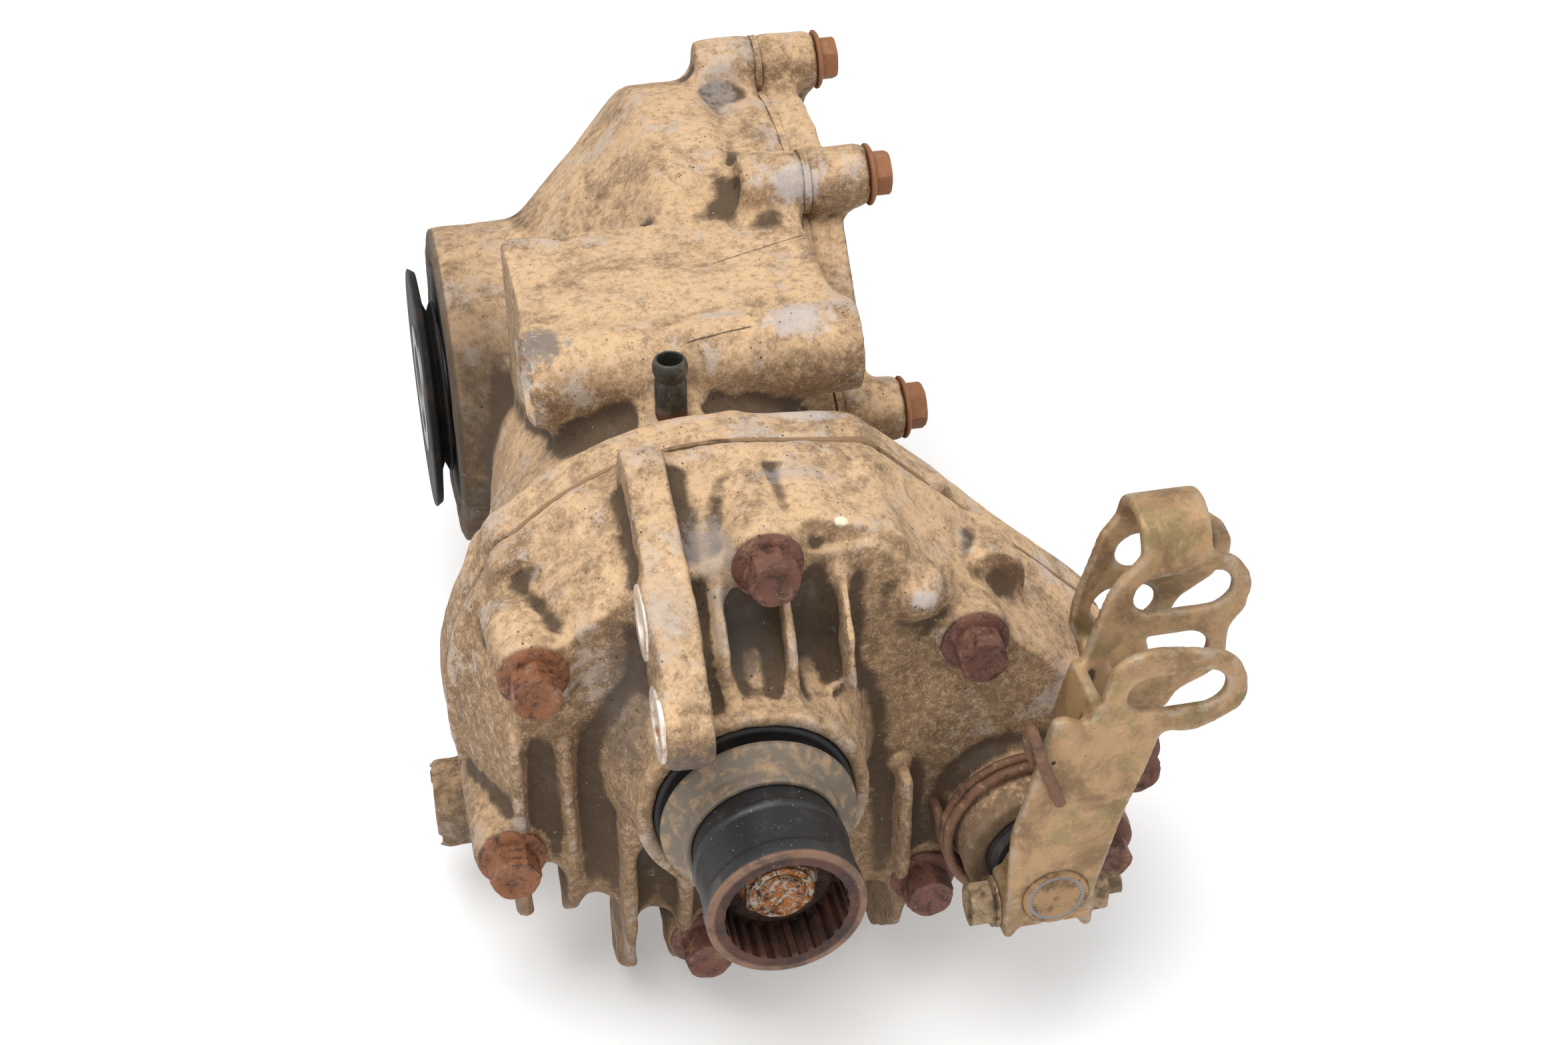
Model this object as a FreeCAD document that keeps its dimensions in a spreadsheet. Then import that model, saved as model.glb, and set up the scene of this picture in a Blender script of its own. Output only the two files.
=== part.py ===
import FreeCAD, Part
import math
import os
import Sketcher

# Rear final gear case of a shaft-driven quad, with a sealed multi-disc brake, in millimetres.
# The origin is where the axle axis (X) meets the input axis (Y). The input coupling points
# to -Y, the ring gear cover is on the +X side and +Z is up.

os.makedirs("parts", exist_ok=True)
doc = FreeCAD.newDocument("FinalDrive")
Vector = FreeCAD.Vector
Rotation = FreeCAD.Rotation

# Each row is a driving size: its name, its value and what it measures.
SIZES = [
    ("fit_gap", 0.05, "radial clearance of a seated or running fit"),
    ("free_gap", 0.3, "clearance between pieces that must not touch"),
    ("thread_gap", 0.3, "radial clearance of a bolt in a plain hole"),
    ("split_y", -152, "brake housing split plane"),
    ("gasket_thickness", 0.6, "both gaskets"),
    ("outline_radius", 72.5, "brake housing outline round the input axis"),
    ("cam_x", 77, "brake cam shaft, across"),
    ("cam_z", -33, "brake cam shaft, height"),
    ("cam_outline_radius", 35, "brake housing outline round the cam shaft"),
    ("side_x", 104.5, "right corner of the outline, across"),
    ("side_z", -3, "right corner of the outline, height"),
    ("side_radius", 7, "right corner rounding"),
    ("corner_x", 38.5, "upper right corner of the outline, across"),
    ("corner_z", 60, "upper right corner of the outline, height"),
    ("corner_radius", 8, "upper right corner rounding"),
    ("flange_depth", 7, "thick rim of the brake cover"),
    ("case_plate_depth", 13, "thick rim of the gear case"),
    ("cover_front_y", -188, "front wall of the brake cover"),
    ("cover_wall", 4.5, "brake cover front wall"),
    ("cover_draft", 13, "how far the cover draws in from rim to front"),
    ("seat_y", -190, "seats of the cover bolts"),
    ("column_radius", 10, "bolt columns"),
    ("case_boss_depth", 18, "bolt bosses behind the split"),
    ("chamber_radius", 52.5, "brake chamber"),
    ("cam_chamber_radius", 16, "chamber end round the cam shaft"),
    ("tab_reach", 3.5, "plate tabs beyond the brake chamber"),
    ("tab_width", 12, "plate tabs"),
    ("tab_angle", 55, "first plate tab"),
    ("boss_radius", 30.5, "central boss of the cover"),
    ("boss_front_y", -212, "front face of the central boss"),
    ("boss_inner_y", -176, "inner end of the central boss"),
    ("cam_boss_radius", 19.5, "cam shaft boss"),
    ("cam_boss_front_y", -210, "front face of the cam shaft boss"),
    ("fin_thickness", 3.4, "cast fins"),
    ("fin_low_z", -95, "lowest point of the fins"),
    ("lug_left_x", -23.5, "cable lug, left face"),
    ("lug_right_x", -12.5, "cable lug, right face"),
    ("lug_hole_radius", 6, "cable lug holes"),
    ("mouth_y", -250, "front of the input coupling"),
    ("coupling_radius", 20, "coupling rim"),
    ("coupling_bore_radius", 15.2, "tips of the coupling's inner splines"),
    ("spline_depth", 1.6, "coupling and hub splines"),
    ("coupling_floor_y", -237, "nut seat inside the coupling"),
    ("seal_journal_radius", 14, "coupling neck under the oil seal"),
    ("input_spline_radius", 10, "front end of the pinion shaft"),
    ("front_bearing_y", -203, "front face of the front bearing"),
    ("front_bearing_width", 15, "front bearing"),
    ("front_bearing_bore", 12.5, "front bearing inner radius"),
    ("front_bearing_outer", 26, "front bearing outer radius"),
    ("shaft_radius", 14, "pinion shaft"),
    ("pinion_bearing_y", -100, "front face of the pinion bearing"),
    ("pinion_bearing_width", 16, "pinion bearing"),
    ("pinion_bearing_bore", 15, "pinion bearing inner radius"),
    ("pinion_bearing_outer", 31, "pinion bearing outer radius"),
    ("ring_teeth", 41, "ring gear teeth"),
    ("pinion_teeth", 12, "pinion teeth"),
    ("ring_pitch_radius", 70, "ring gear pitch circle"),
    ("tooth_face", 19, "tooth length along the ring gear's radius"),
    ("tooth_out", 2.6, "tooth height above the pitch line"),
    ("tooth_in", 3.3, "tooth depth below the pitch line"),
    ("tooth_half_width", 2.2, "half tooth thickness on the pitch line"),
    ("ring_back_x", 35, "back of the ring gear"),
    ("ring_pilot_radius", 28, "bore of the ring gear"),
    ("ring_bolt_circle", 38, "ring gear bolts"),
    ("axle_bore_radius", 14, "bore of the axle hub"),
    ("axle_journal_radius", 20, "axle hub bearing seats"),
    ("hub_left_x", -64.5, "left end of the axle hub"),
    ("hub_right_x", 70.5, "right end of the axle hub"),
    ("hub_flange_radius", 46, "ring gear flange of the axle hub"),
    ("hub_flange_thickness", 6, "ring gear flange of the axle hub"),
    ("axle_bearing_outer", 40, "axle bearings, outer radius"),
    ("axle_bearing_width", 18, "axle bearings"),
    ("left_bearing_x", -50, "left face of the left axle bearing"),
    ("right_bearing_x", 42.5, "left face of the right axle bearing"),
    ("neck_radius", 50, "left neck of the gear case"),
    ("neck_end_x", -57, "left end of the neck"),
    ("neck_root_x", -27, "where the neck meets the cone"),
    ("bell_radius", 88, "round body over the ring gear"),
    ("bell_left_x", 10, "left end of the round body"),
    ("bell_wall", 9, "wall of the gear case"),
    ("rim_step", 4, "from the round body in to the rim of the ring gear cover"),
    ("rim_left_x", 30, "left side of that rim"),
    ("cover_face_x", 50, "face that the ring gear cover sits on"),
    ("cover_thickness", 12, "ring gear cover"),
    ("ring_bolt_step", 3, "from the round body out to the ring gear cover bolts"),
    ("ring_boss_radius", 9.5, "ring gear cover bolt bosses"),
    ("ring_boss_left_x", 31, "left ends of those bosses"),
    ("ring_seat_x", 69.5, "seats of the ring gear cover bolts"),
    ("ring_bolt_first", 25.8, "angle of the first of those bolts"),
    ("cover_hub_radius", 46, "centre boss of the ring gear cover"),
    ("left_seal_radius", 38, "rim of the left rubber disc"),
    ("right_seal_radius", 32, "rim of the right rubber disc"),
    ("cover_hub_end_x", 66, "right end of that boss"),
    ("body_radius", 62, "gear case body behind the brake"),
    ("body_rear_radius", 46, "the same body where it meets the axle body"),
    ("pinion_tube_radius", 38, "housing of the pinion bearing"),
    ("upper_tube_y", -103, "upper mounting tube"),
    ("upper_tube_z", 65, "upper mounting tube"),
    ("upper_tube_left_x", -41.5, "upper mounting tube, left end"),
    ("upper_tube_right_x", 52.5, "upper mounting tube, right end"),
    ("tube_radius", 13, "mounting tubes"),
    ("tube_bore_radius", 10.5, "bores of the mounting tubes"),
    ("web_top_z", 76.5, "flat web behind the upper tube"),
    ("web_thickness", 6, "flat web behind the upper tube"),
    ("lower_tube_y", -127, "lower mounting tube"),
    ("lower_tube_z", -61, "lower mounting tube"),
    ("lower_tube_left_x", -79, "lower mounting tube, left end"),
    ("lower_tube_right_x", 60, "lower mounting tube, right end"),
    ("vent_x", -4, "vent pipe"),
    ("vent_y", -123, "vent pipe"),
    ("vent_top_z", 80, "top of the vent pipe"),
    ("vent_radius", 4.3, "vent pipe"),
    ("vent_bore", 3.4, "inside radius of the vent pipe"),
    ("bolt_shank_radius", 4, "housing bolts"),
    ("bolt_hex_radius", 6.9, "corners of the bolt heads"),
    ("bolt_head_height", 8, "bolt heads above their flange"),
    ("ring_bolt_head_height", 5, "heads of the ring gear cover bolts"),
    ("bolt_flange_radius", 9.2, "bolt flanges"),
    ("bolt_flange_thickness", 1.8, "bolt flanges"),
    ("disc_thickness", 2.2, "friction discs"),
    ("steel_thickness", 1.6, "steel plates"),
    ("disc_gap", 0.1, "gap between released discs"),
    ("disc_count", 5, "friction discs"),
    ("drum_radius", 34, "drum of the brake hub"),
    ("plate_front_y", -177, "pressure plate, front face"),
    ("plate_thickness", 5.5, "pressure plate"),
    ("brake_stroke", 0.94, "travel of the pressure plate"),
    ("cam_ring_front_y", -183.2, "cam ring, front face"),
    ("cam_ring_back_y", -178.5, "cam ring, back face"),
    ("cam_ring_radius", 44, "cam ring"),
    ("ramp_radius", 36, "circle of the cam balls"),
    ("cam_ball_radius", 3, "cam balls"),
    ("crank_radius", 23.8, "crank pin from the cam shaft"),
    ("lever_swing", 14, "travel of the brake lever in degrees"),
    ("crank_pin_radius", 4, "crank pin"),
    ("cam_shaft_radius", 8.5, "brake cam shaft"),
    ("cam_shaft_front_y", -228.2, "front end of the cam shaft"),
    ("lever_back_y", -224.4, "back of the lever's arm"),
    ("sheet_thickness", 3.2, "pressed sheet of the lever"),
    ("middle_plate_y", -209.6, "front of the middle slotted plate"),
    ("rear_plate_y", -190.6, "front of the rear slotted plate"),
    ("slot_radius", 5.7, "half width of the cable slots"),
    ("slot_half_travel", 7.4, "half distance between the slot's end centres"),
    ("front_slot_x", 104.4, "cable slot of the front plate, across"),
    ("front_slot_z", 32, "cable slot of the front plate, height"),
    ("lower_slot_x", 106, "lower slot of the middle plate, across"),
    ("lower_slot_z", 29.7, "lower slot of the middle plate, height"),
    ("upper_slot_x", 110.7, "upper slot of the middle plate, across"),
    ("upper_slot_z", 48.6, "upper slot of the middle plate, height"),
    ("rear_slot_x", 112.2, "slot of the rear plate, across"),
    ("rear_slot_z", 48.4, "slot of the rear plate, height"),
    ("bridge_left_x", 98.7, "bridge between the middle and rear plates, left edge"),
    ("bridge_right_x", 117.5, "bridge between the middle and rear plates, right edge"),
    ("bridge_z", 60, "centre of the bridge's bend"),
    ("clamp_bolt_y", -218.5, "clamp bolt of the lever"),
    ("clamp_ear_back_y", -213.4, "back edges of the lever clamp's ears"),
    ("clamp_bolt_z", -40.5, "clamp bolt of the lever"),
    ("clamp_left_x", 63.5, "left ear of the lever clamp"),
    ("clamp_right_x", 88, "right ear of the lever clamp"),
    ("spring_radius", 22.3, "mean radius of the return spring"),
    ("spring_wire", 1.5, "wire radius of the return spring"),
    ("spring_turns", 2.6, "turns of the return spring"),
    ("spring_pitch", 3.6, "pitch of the return spring"),
    ("spring_front_y", -204, "front coil of the return spring"),
    ("spring_hook_angle", 40, "where the hook leaves the coil, from +X"),
    ("spring_leg", 4.5, "straight end of the return spring before its anchor"),
    ("filler_x", 20, "oil filler, across"),
    ("filler_z", 20, "oil filler, height"),
    ("filler_radius", 11, "thread of the oil filler plug"),
    ("filler_seat_y", 88.5, "seat of the oil filler plug's ring"),
    ("drain_x", 16, "gear case drain plug"),
    ("drain_y", 8, "gear case drain plug"),
    ("drain_radius", 6, "thread of the gear case drain plug"),
    ("drain_seat_z", -89.5, "seat of the gear case drain plug"),
    ("brake_drain_x", 20, "brake drain plug"),
    ("brake_drain_y", -166.8, "brake drain plug"),
    ("brake_drain_radius", 4, "thread of the brake drain plug"),
    ("brake_drain_seat_z", -74.5, "seat of the brake drain plug"),
    ("dowel_radius", 4, "dowels between the housing halves"),
    ("dowel_depth", 8, "depth of the dowel holes in each half"),
    ("cam_pivot_radius", 6, "rear journal of the cam shaft"),
    ("clamp_bolt_radius", 3, "clamp bolt of the lever"),
    ("hub_key_width", 5, "keys of the brake hub"),
    ("vent_boss_top_z", 62.5, "top of the vent pipe's boss"),
]


class Size:
    """A number with the sheet expression that gives it."""

    def __init__(self, value, text):
        self.value = value
        self.text = text

    def __add__(self, other):
        return Size(self.value + size(other).value, f"({self.text} + {size(other).text})")

    def __radd__(self, other):
        return size(other) + self

    def __sub__(self, other):
        return Size(self.value - size(other).value, f"({self.text} - {size(other).text})")

    def __rsub__(self, other):
        return size(other) - self

    def __mul__(self, other):
        return Size(self.value * size(other).value, f"({self.text} * {size(other).text})")

    def __rmul__(self, other):
        return size(other) * self

    def __truediv__(self, other):
        return Size(self.value / size(other).value, f"({self.text} / {size(other).text})")

    def __rtruediv__(self, other):
        return size(other) / self

    def __neg__(self):
        return size(0) - self


def size(amount):
    """A plain number as a size; a size is left as it is."""
    return amount if isinstance(amount, Size) else Size(float(amount), f"({amount})")


def cosine(angle):
    return Size(math.cos(math.radians(size(angle).value)), f"cos({size(angle).text} * 1 deg)")


def sine(angle):
    return Size(math.sin(math.radians(size(angle).value)), f"sin({size(angle).text} * 1 deg)")


def root(square):
    return Size(math.sqrt(square.value), f"sqrt({square.text})")


def hypotenuse(a, b):
    return root(size(a) * a + size(b) * b)


def vector_text(point):
    """A point (x, y, z) as the sheet writes it."""
    return "vector(" + "; ".join(size(amount).text for amount in point) + ")"


class Driving:
    """The driving sizes, one attribute for each row of the sheet."""


sheet = doc.addObject("Spreadsheet::Sheet", "Sizes")
dim = Driving()
for row, (alias, value, meaning) in enumerate(SIZES, start=1):
    sheet.set(f"A{row}", alias)
    sheet.set(f"B{row}", str(value))
    sheet.set(f"C{row}", meaning)
    sheet.setAlias(f"B{row}", alias)
    setattr(dim, alias, Size(float(value), f"Sizes.{alias}"))
doc.recompute()

# Helpers that make things bound to the sheet

TURN = {
    "X": Rotation(Vector(0, 1, 0), 90),
    "Y": Rotation(Vector(1, 0, 0), -90),
    "Z": Rotation(),
}
ACROSS = {"X": "yz", "Y": "xz", "Z": "xy"}
# How a sketch stands, for a slab that is extruded along each axis
STAND = {
    "X": Rotation(Vector(1, 1, 1), 120),
    "Y": Rotation(Vector(1, 0, 0), 90),
    "Z": Rotation(),
}
ALONG = {"X": Vector(1, 0, 0), "Y": Vector(0, 1, 0), "Z": Vector(0, 0, 1)}


def bind(thing, name, amount):
    """Ties one property to the sheet."""
    thing.setExpression(name, size(amount).text)


def bind_place(thing, axis, start, centre):
    """Ties a thing's place: START along its axis, CENTRE across it."""
    bind(thing, f"Placement.Base.{axis.lower()}", start)
    for letter, amount in zip(ACROSS[axis], centre):
        bind(thing, f"Placement.Base.{letter}", amount)


def bar(axis, centre, radius, start, end):
    """A round bar."""
    rod = doc.addObject("Part::Cylinder", "bar")
    bind(rod, "Radius", radius)
    bind(rod, "Height", size(end) - start)
    rod.Placement = FreeCAD.Placement(Vector(), TURN[axis])
    bind_place(rod, axis, start, centre)
    return rod


def cone(axis, centre, start_radius, end_radius, start, end):
    """A tapered round bar."""
    body = doc.addObject("Part::Cone", "cone")
    bind(body, "Radius1", start_radius)
    bind(body, "Radius2", end_radius)
    bind(body, "Height", size(end) - start)
    body.Placement = FreeCAD.Placement(Vector(), TURN[axis])
    bind_place(body, axis, start, centre)
    return body


def hexagon(axis, centre, corner_radius, start, end):
    """A hexagonal bar."""
    prism = doc.addObject("Part::Prism", "hexagon")
    prism.Polygon = 6
    bind(prism, "Circumradius", corner_radius)
    bind(prism, "Height", size(end) - start)
    prism.Placement = FreeCAD.Placement(Vector(), TURN[axis])
    bind_place(prism, axis, start, centre)
    return prism


def block(low, high):
    """A box between two corners."""
    box = doc.addObject("Part::Box", "block")
    for name, letter, near, far in zip(("Length", "Width", "Height"), "xyz", low, high):
        bind(box, name, size(far) - near)
        bind(box, f"Placement.Base.{letter}", near)
    return box


def ball(centre, radius):
    """A sphere."""
    sphere = doc.addObject("Part::Sphere", "ball")
    bind(sphere, "Radius", radius)
    for letter, amount in zip("xyz", centre):
        bind(sphere, f"Placement.Base.{letter}", amount)
    return sphere


def torus(axis, centre, big_radius, small_radius, middle):
    """A ring of round section."""
    ring = doc.addObject("Part::Torus", "torus")
    bind(ring, "Radius1", big_radius)
    bind(ring, "Radius2", small_radius)
    ring.Placement = FreeCAD.Placement(Vector(), TURN[axis])
    bind_place(ring, axis, middle, centre)
    return ring


def fuse(things):
    """Things joined into one."""
    if len(things) == 1:
        return things[0]
    joined = doc.addObject("Part::MultiFuse", "joined")
    joined.Shapes = things
    return joined


def group(things):
    """Separate solids of one kind kept together."""
    together = doc.addObject("Part::Compound", "group")
    together.Links = things
    return together


def cut(thing, tools):
    """A thing less some others."""
    left = doc.addObject("Part::Cut", "left")
    left.Base = thing
    left.Tool = fuse(tools)
    return left


def tube(axis, centre, outer_radius, inner_radius, start, end):
    """A plain ring or tube."""
    hole = bar(axis, centre, inner_radius, size(start) - 1, size(end) + 1)
    return cut(bar(axis, centre, outer_radius, start, end), [hole])


def pin_vertex(sketch, geometry, point, across, up):
    """Ties one point of a sketch to the sheet."""
    for kind, amount in (("DistanceX", across), ("DistanceY", up)):
        amount = size(amount)
        index = sketch.addConstraint(
            Sketcher.Constraint(kind, -1, 1, geometry, point, amount.value))
        sketch.setExpression(f"Constraints[{index}]", amount.text)


def draw_polygon(sketch, points):
    """Draws a closed outline of straight lines through the points."""
    corners = [Vector(size(u).value, size(v).value, 0) for u, v in points]
    for start, end in zip(corners, corners[1:] + corners[:1]):
        sketch.addGeometry(Part.LineSegment(start, end))
    for index, (across, up) in enumerate(points):
        before = (index - 1) % len(points)
        sketch.addConstraint(Sketcher.Constraint("Coincident", before, 2, index, 1))
        pin_vertex(sketch, index, 1, across, up)


def draw_belt(sketch, circles):
    """Draws the outline of a belt round circles, given anticlockwise as (u, v, radius)."""
    rounds = [[size(amount).value for amount in circle] for circle in circles]
    normals = []
    for (u, v, r), (next_u, next_v, next_r) in zip(rounds, rounds[1:] + rounds[:1]):
        reach = math.hypot(next_u - u, next_v - v)
        lean = math.asin((r - next_r) / reach)
        normals.append(math.atan2(next_v - v, next_u - u) - math.pi / 2 + lean)
    count = len(rounds)
    for index, (u, v, r) in enumerate(rounds):
        circle = Part.Circle(Vector(u, v, 0), Vector(0, 0, 1), r)
        start = normals[index - 1]
        turn = (normals[index] - start) % (2 * math.pi)
        sketch.addGeometry(Part.ArcOfCircle(circle, start, start + turn))
        after_u, after_v, after_r = rounds[(index + 1) % count]
        out = Vector(math.cos(normals[index]), math.sin(normals[index]), 0)
        sketch.addGeometry(Part.LineSegment(
            Vector(u, v, 0) + out * r, Vector(after_u, after_v, 0) + out * after_r))
    for index, (across, up, radius) in enumerate(circles):
        arc = 2 * index
        after = (arc + 2) % (2 * count)
        sketch.addConstraint(Sketcher.Constraint("Tangent", arc, 2, arc + 1, 1))
        sketch.addConstraint(Sketcher.Constraint("Tangent", arc + 1, 2, after, 1))
        pin_vertex(sketch, arc, 3, across, up)
        radius = size(radius)
        constraint = sketch.addConstraint(Sketcher.Constraint("Radius", arc, radius.value))
        sketch.setExpression(f"Constraints[{constraint}]", radius.text)


def outline(axis, level, draw, shape):
    """A sketch that stands across an axis at a level."""
    sketch = doc.addObject("Sketcher::SketchObject", "outline")
    sketch.Placement = FreeCAD.Placement(Vector(), STAND[axis])
    draw(sketch, shape)
    bind(sketch, f"Placement.Base.{axis.lower()}", level)
    return sketch


def slab(axis, draw, shape, start, end):
    """An outline extruded along an axis."""
    solid = doc.addObject("Part::Extrusion", "slab")
    solid.Base = outline(axis, start, draw, shape)
    solid.DirMode = "Custom"
    solid.Dir = ALONG[axis]
    solid.Solid = True
    bind(solid, "LengthFwd", size(end) - start)
    return solid


def loft(axis, first, first_level, second, second_level):
    """A straight loft between two belts of as many circles."""
    solid = doc.addObject("Part::Loft", "loft")
    solid.Sections = [
        outline(axis, first_level, draw_belt, first),
        outline(axis, second_level, draw_belt, second),
    ]
    solid.Solid = True
    solid.Ruled = True
    return solid


def origin_part(body, role):
    """The plane or axis of a body's own origin with that role."""
    return [feature for feature in body.Origin.OriginFeatures if feature.Role == role][0]


def turned(axis, profile, centre=(0, 0)):
    """A body turned round an axis from corners given as (along, radius)."""
    body = doc.addObject("PartDesign::Body", "turned")
    sketch = body.newObject("Sketcher::SketchObject", "profile")
    sketch.AttachmentSupport = [(origin_part(body, "XY_Plane"), "")]
    sketch.MapMode = "FlatFace"
    draw_polygon(sketch, profile)
    turn = body.newObject("PartDesign::Revolution", "turn")
    turn.Profile = sketch
    turn.ReferenceAxis = (sketch, ["H_Axis"])
    turn.Angle = 360
    body.Tip = turn
    lie = {"X": Rotation(), "Y": Rotation(Vector(0, 0, 1), 90), "Z": Rotation(Vector(0, 1, 0), -90)}
    body.Placement = FreeCAD.Placement(Vector(), lie[axis])
    bind_place(body, axis, 0, centre)
    return body


def patterned(body, feature, count):
    """Repeats a body's feature round its X axis and makes that its tip."""
    doc.recompute()
    pattern = body.newObject("PartDesign::PolarPattern", "pattern")
    pattern.Originals = [feature]
    pattern.Axis = (origin_part(body, "X_Axis"), [""])
    pattern.Angle = 360
    bind(pattern, "Occurrences", count)
    body.Tip = pattern
    return pattern


def splined_bore(body, start, end, bottom_radius, width, count):
    """Cuts a ring of spline grooves in a turned body's bore, from START to END."""
    sketch = body.newObject("Sketcher::SketchObject", "groove_section")
    sketch.AttachmentSupport = [(origin_part(body, "YZ_Plane"), "")]
    sketch.MapMode = "FlatFace"
    bind(sketch, "AttachmentOffset.Base.z", start)
    inner = bottom_radius / 2
    draw_polygon(sketch, [
        (-width / 2, inner), (width / 2, inner),
        (width / 2, bottom_radius), (-width / 2, bottom_radius)])
    doc.recompute()
    groove = body.newObject("PartDesign::Pocket", "groove")
    groove.Profile = sketch
    groove.Reversed = True
    bind(groove, "Length", size(end) - start)
    body.Tip = groove
    return patterned(body, groove, count)


nodes = []


def node(name, thing):
    """Gives a finished thing the name of its part."""
    thing.Label = name
    nodes.append(thing)
    return thing


INPUT = (0, 0)
AXLE = (0, 0)
CAM = (dim.cam_x, dim.cam_z)
cover_back_y = dim.split_y - dim.gasket_thickness / 2
case_front_y = dim.split_y + dim.gasket_thickness / 2

# Bolts of the brake cover, as (x, z)
COVER_BOLTS = [
    (8, 60.4), (-51.8, 34.6), (62.8, 26.4), (-61, -25.5),
    (51.5, -56), (-10.6, -66.6), (108.4, -21), (103, -52.5),
]
# Dowels of the brake housing, as (x, z)
DOWELS = [(92, 6), (-60, 16)]


rim_radius = dim.bell_radius - dim.rim_step
ring_bolt_circle_radius = dim.bell_radius + dim.ring_bolt_step


def ring_bolt_places():
    """Centres (y, z) of the ring gear cover bolts."""
    places = []
    for index in range(8):
        angle = dim.ring_bolt_first + 45 * index
        places.append((ring_bolt_circle_radius * cosine(angle),
                       ring_bolt_circle_radius * sine(angle)))
    return places


RING_BOLTS = ring_bolt_places()


def housing_belt(inset):
    """The brake housing outline drawn in by INSET."""
    return [
        (0, 0, dim.outline_radius - inset),
        (dim.cam_x, dim.cam_z, dim.cam_outline_radius - inset),
        (dim.side_x - inset / 3, dim.side_z - inset / 3, dim.side_radius - inset / 4),
        (dim.corner_x - inset / 3, dim.corner_z - inset / 3, dim.corner_radius - inset / 4),
    ]


def chamber_belt(growth):
    """The brake chamber outline grown by GROWTH."""
    return [
        (0, 0, dim.chamber_radius + growth),
        (dim.cam_x, dim.cam_z, dim.cam_chamber_radius + growth),
    ]


def tab_directions():
    """Unit vectors (x, z) to the three plate tabs."""
    angles = [dim.tab_angle + 120 * index for index in range(3)]
    return [(cosine(angle), sine(angle)) for angle in angles]


def strip(direction, near, far, width):
    """Corners of a straight strip from NEAR to FAR along a direction out of the origin."""
    along, up = direction
    half = size(width) / 2
    return [
        (along * near + up * half, up * near - along * half),
        (along * far + up * half, up * far - along * half),
        (along * far - up * half, up * far + along * half),
        (along * near - up * half, up * near + along * half),
    ]


def tab(direction, reach, width, start, end):
    """A straight-sided tab from the input axis out to REACH."""
    return slab("Y", draw_polygon, strip(direction, 20, reach, width), start, end)


def ordered(one, other):
    """Two places along an axis, the lower one first."""
    return (one, other) if size(one).value < size(other).value else (other, one)


def flange_bolt(axis, centre, seat, tip, outward, head_height):
    """A flange bolt with a dished hexagon head; OUTWARD is -1 or 1, the way its head looks."""
    flange_top = seat + outward * dim.bolt_flange_thickness
    head_top = flange_top + outward * head_height
    edge_radius = dim.bolt_flange_radius - dim.bolt_flange_thickness / 2
    radii = {1: (dim.bolt_flange_radius, edge_radius), -1: (edge_radius, dim.bolt_flange_radius)}
    solid = fuse([
        cone(axis, centre, *radii[outward], *ordered(seat, flange_top)),
        hexagon(axis, centre, dim.bolt_hex_radius, *ordered(seat + outward, head_top)),
        bar(axis, centre, dim.bolt_shank_radius, *ordered(tip, seat + outward)),
    ])
    dish_radius = dim.bolt_hex_radius * 0.62
    dish_floor = head_top - outward * dim.bolt_flange_thickness / 2
    return cut(solid, [bar(axis, centre, dish_radius, *ordered(dish_floor, head_top + outward))])


# Gear case

case_back_y = dim.split_y + dim.case_plate_depth
body_end_y = size(-45)
case_boss_end_y = dim.split_y + dim.case_boss_depth
vent_low_z = dim.vent_boss_top_z - 9
vent_root_radius = dim.vent_radius - 0.4
CLAMP = (dim.clamp_bolt_y, dim.clamp_bolt_z)
VENT = (dim.vent_x, dim.vent_y)
FILLER = (dim.filler_x, dim.filler_z)
DRAIN = (dim.drain_x, dim.drain_y)
BRAKE_DRAIN = (dim.brake_drain_x, dim.brake_drain_y)


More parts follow.
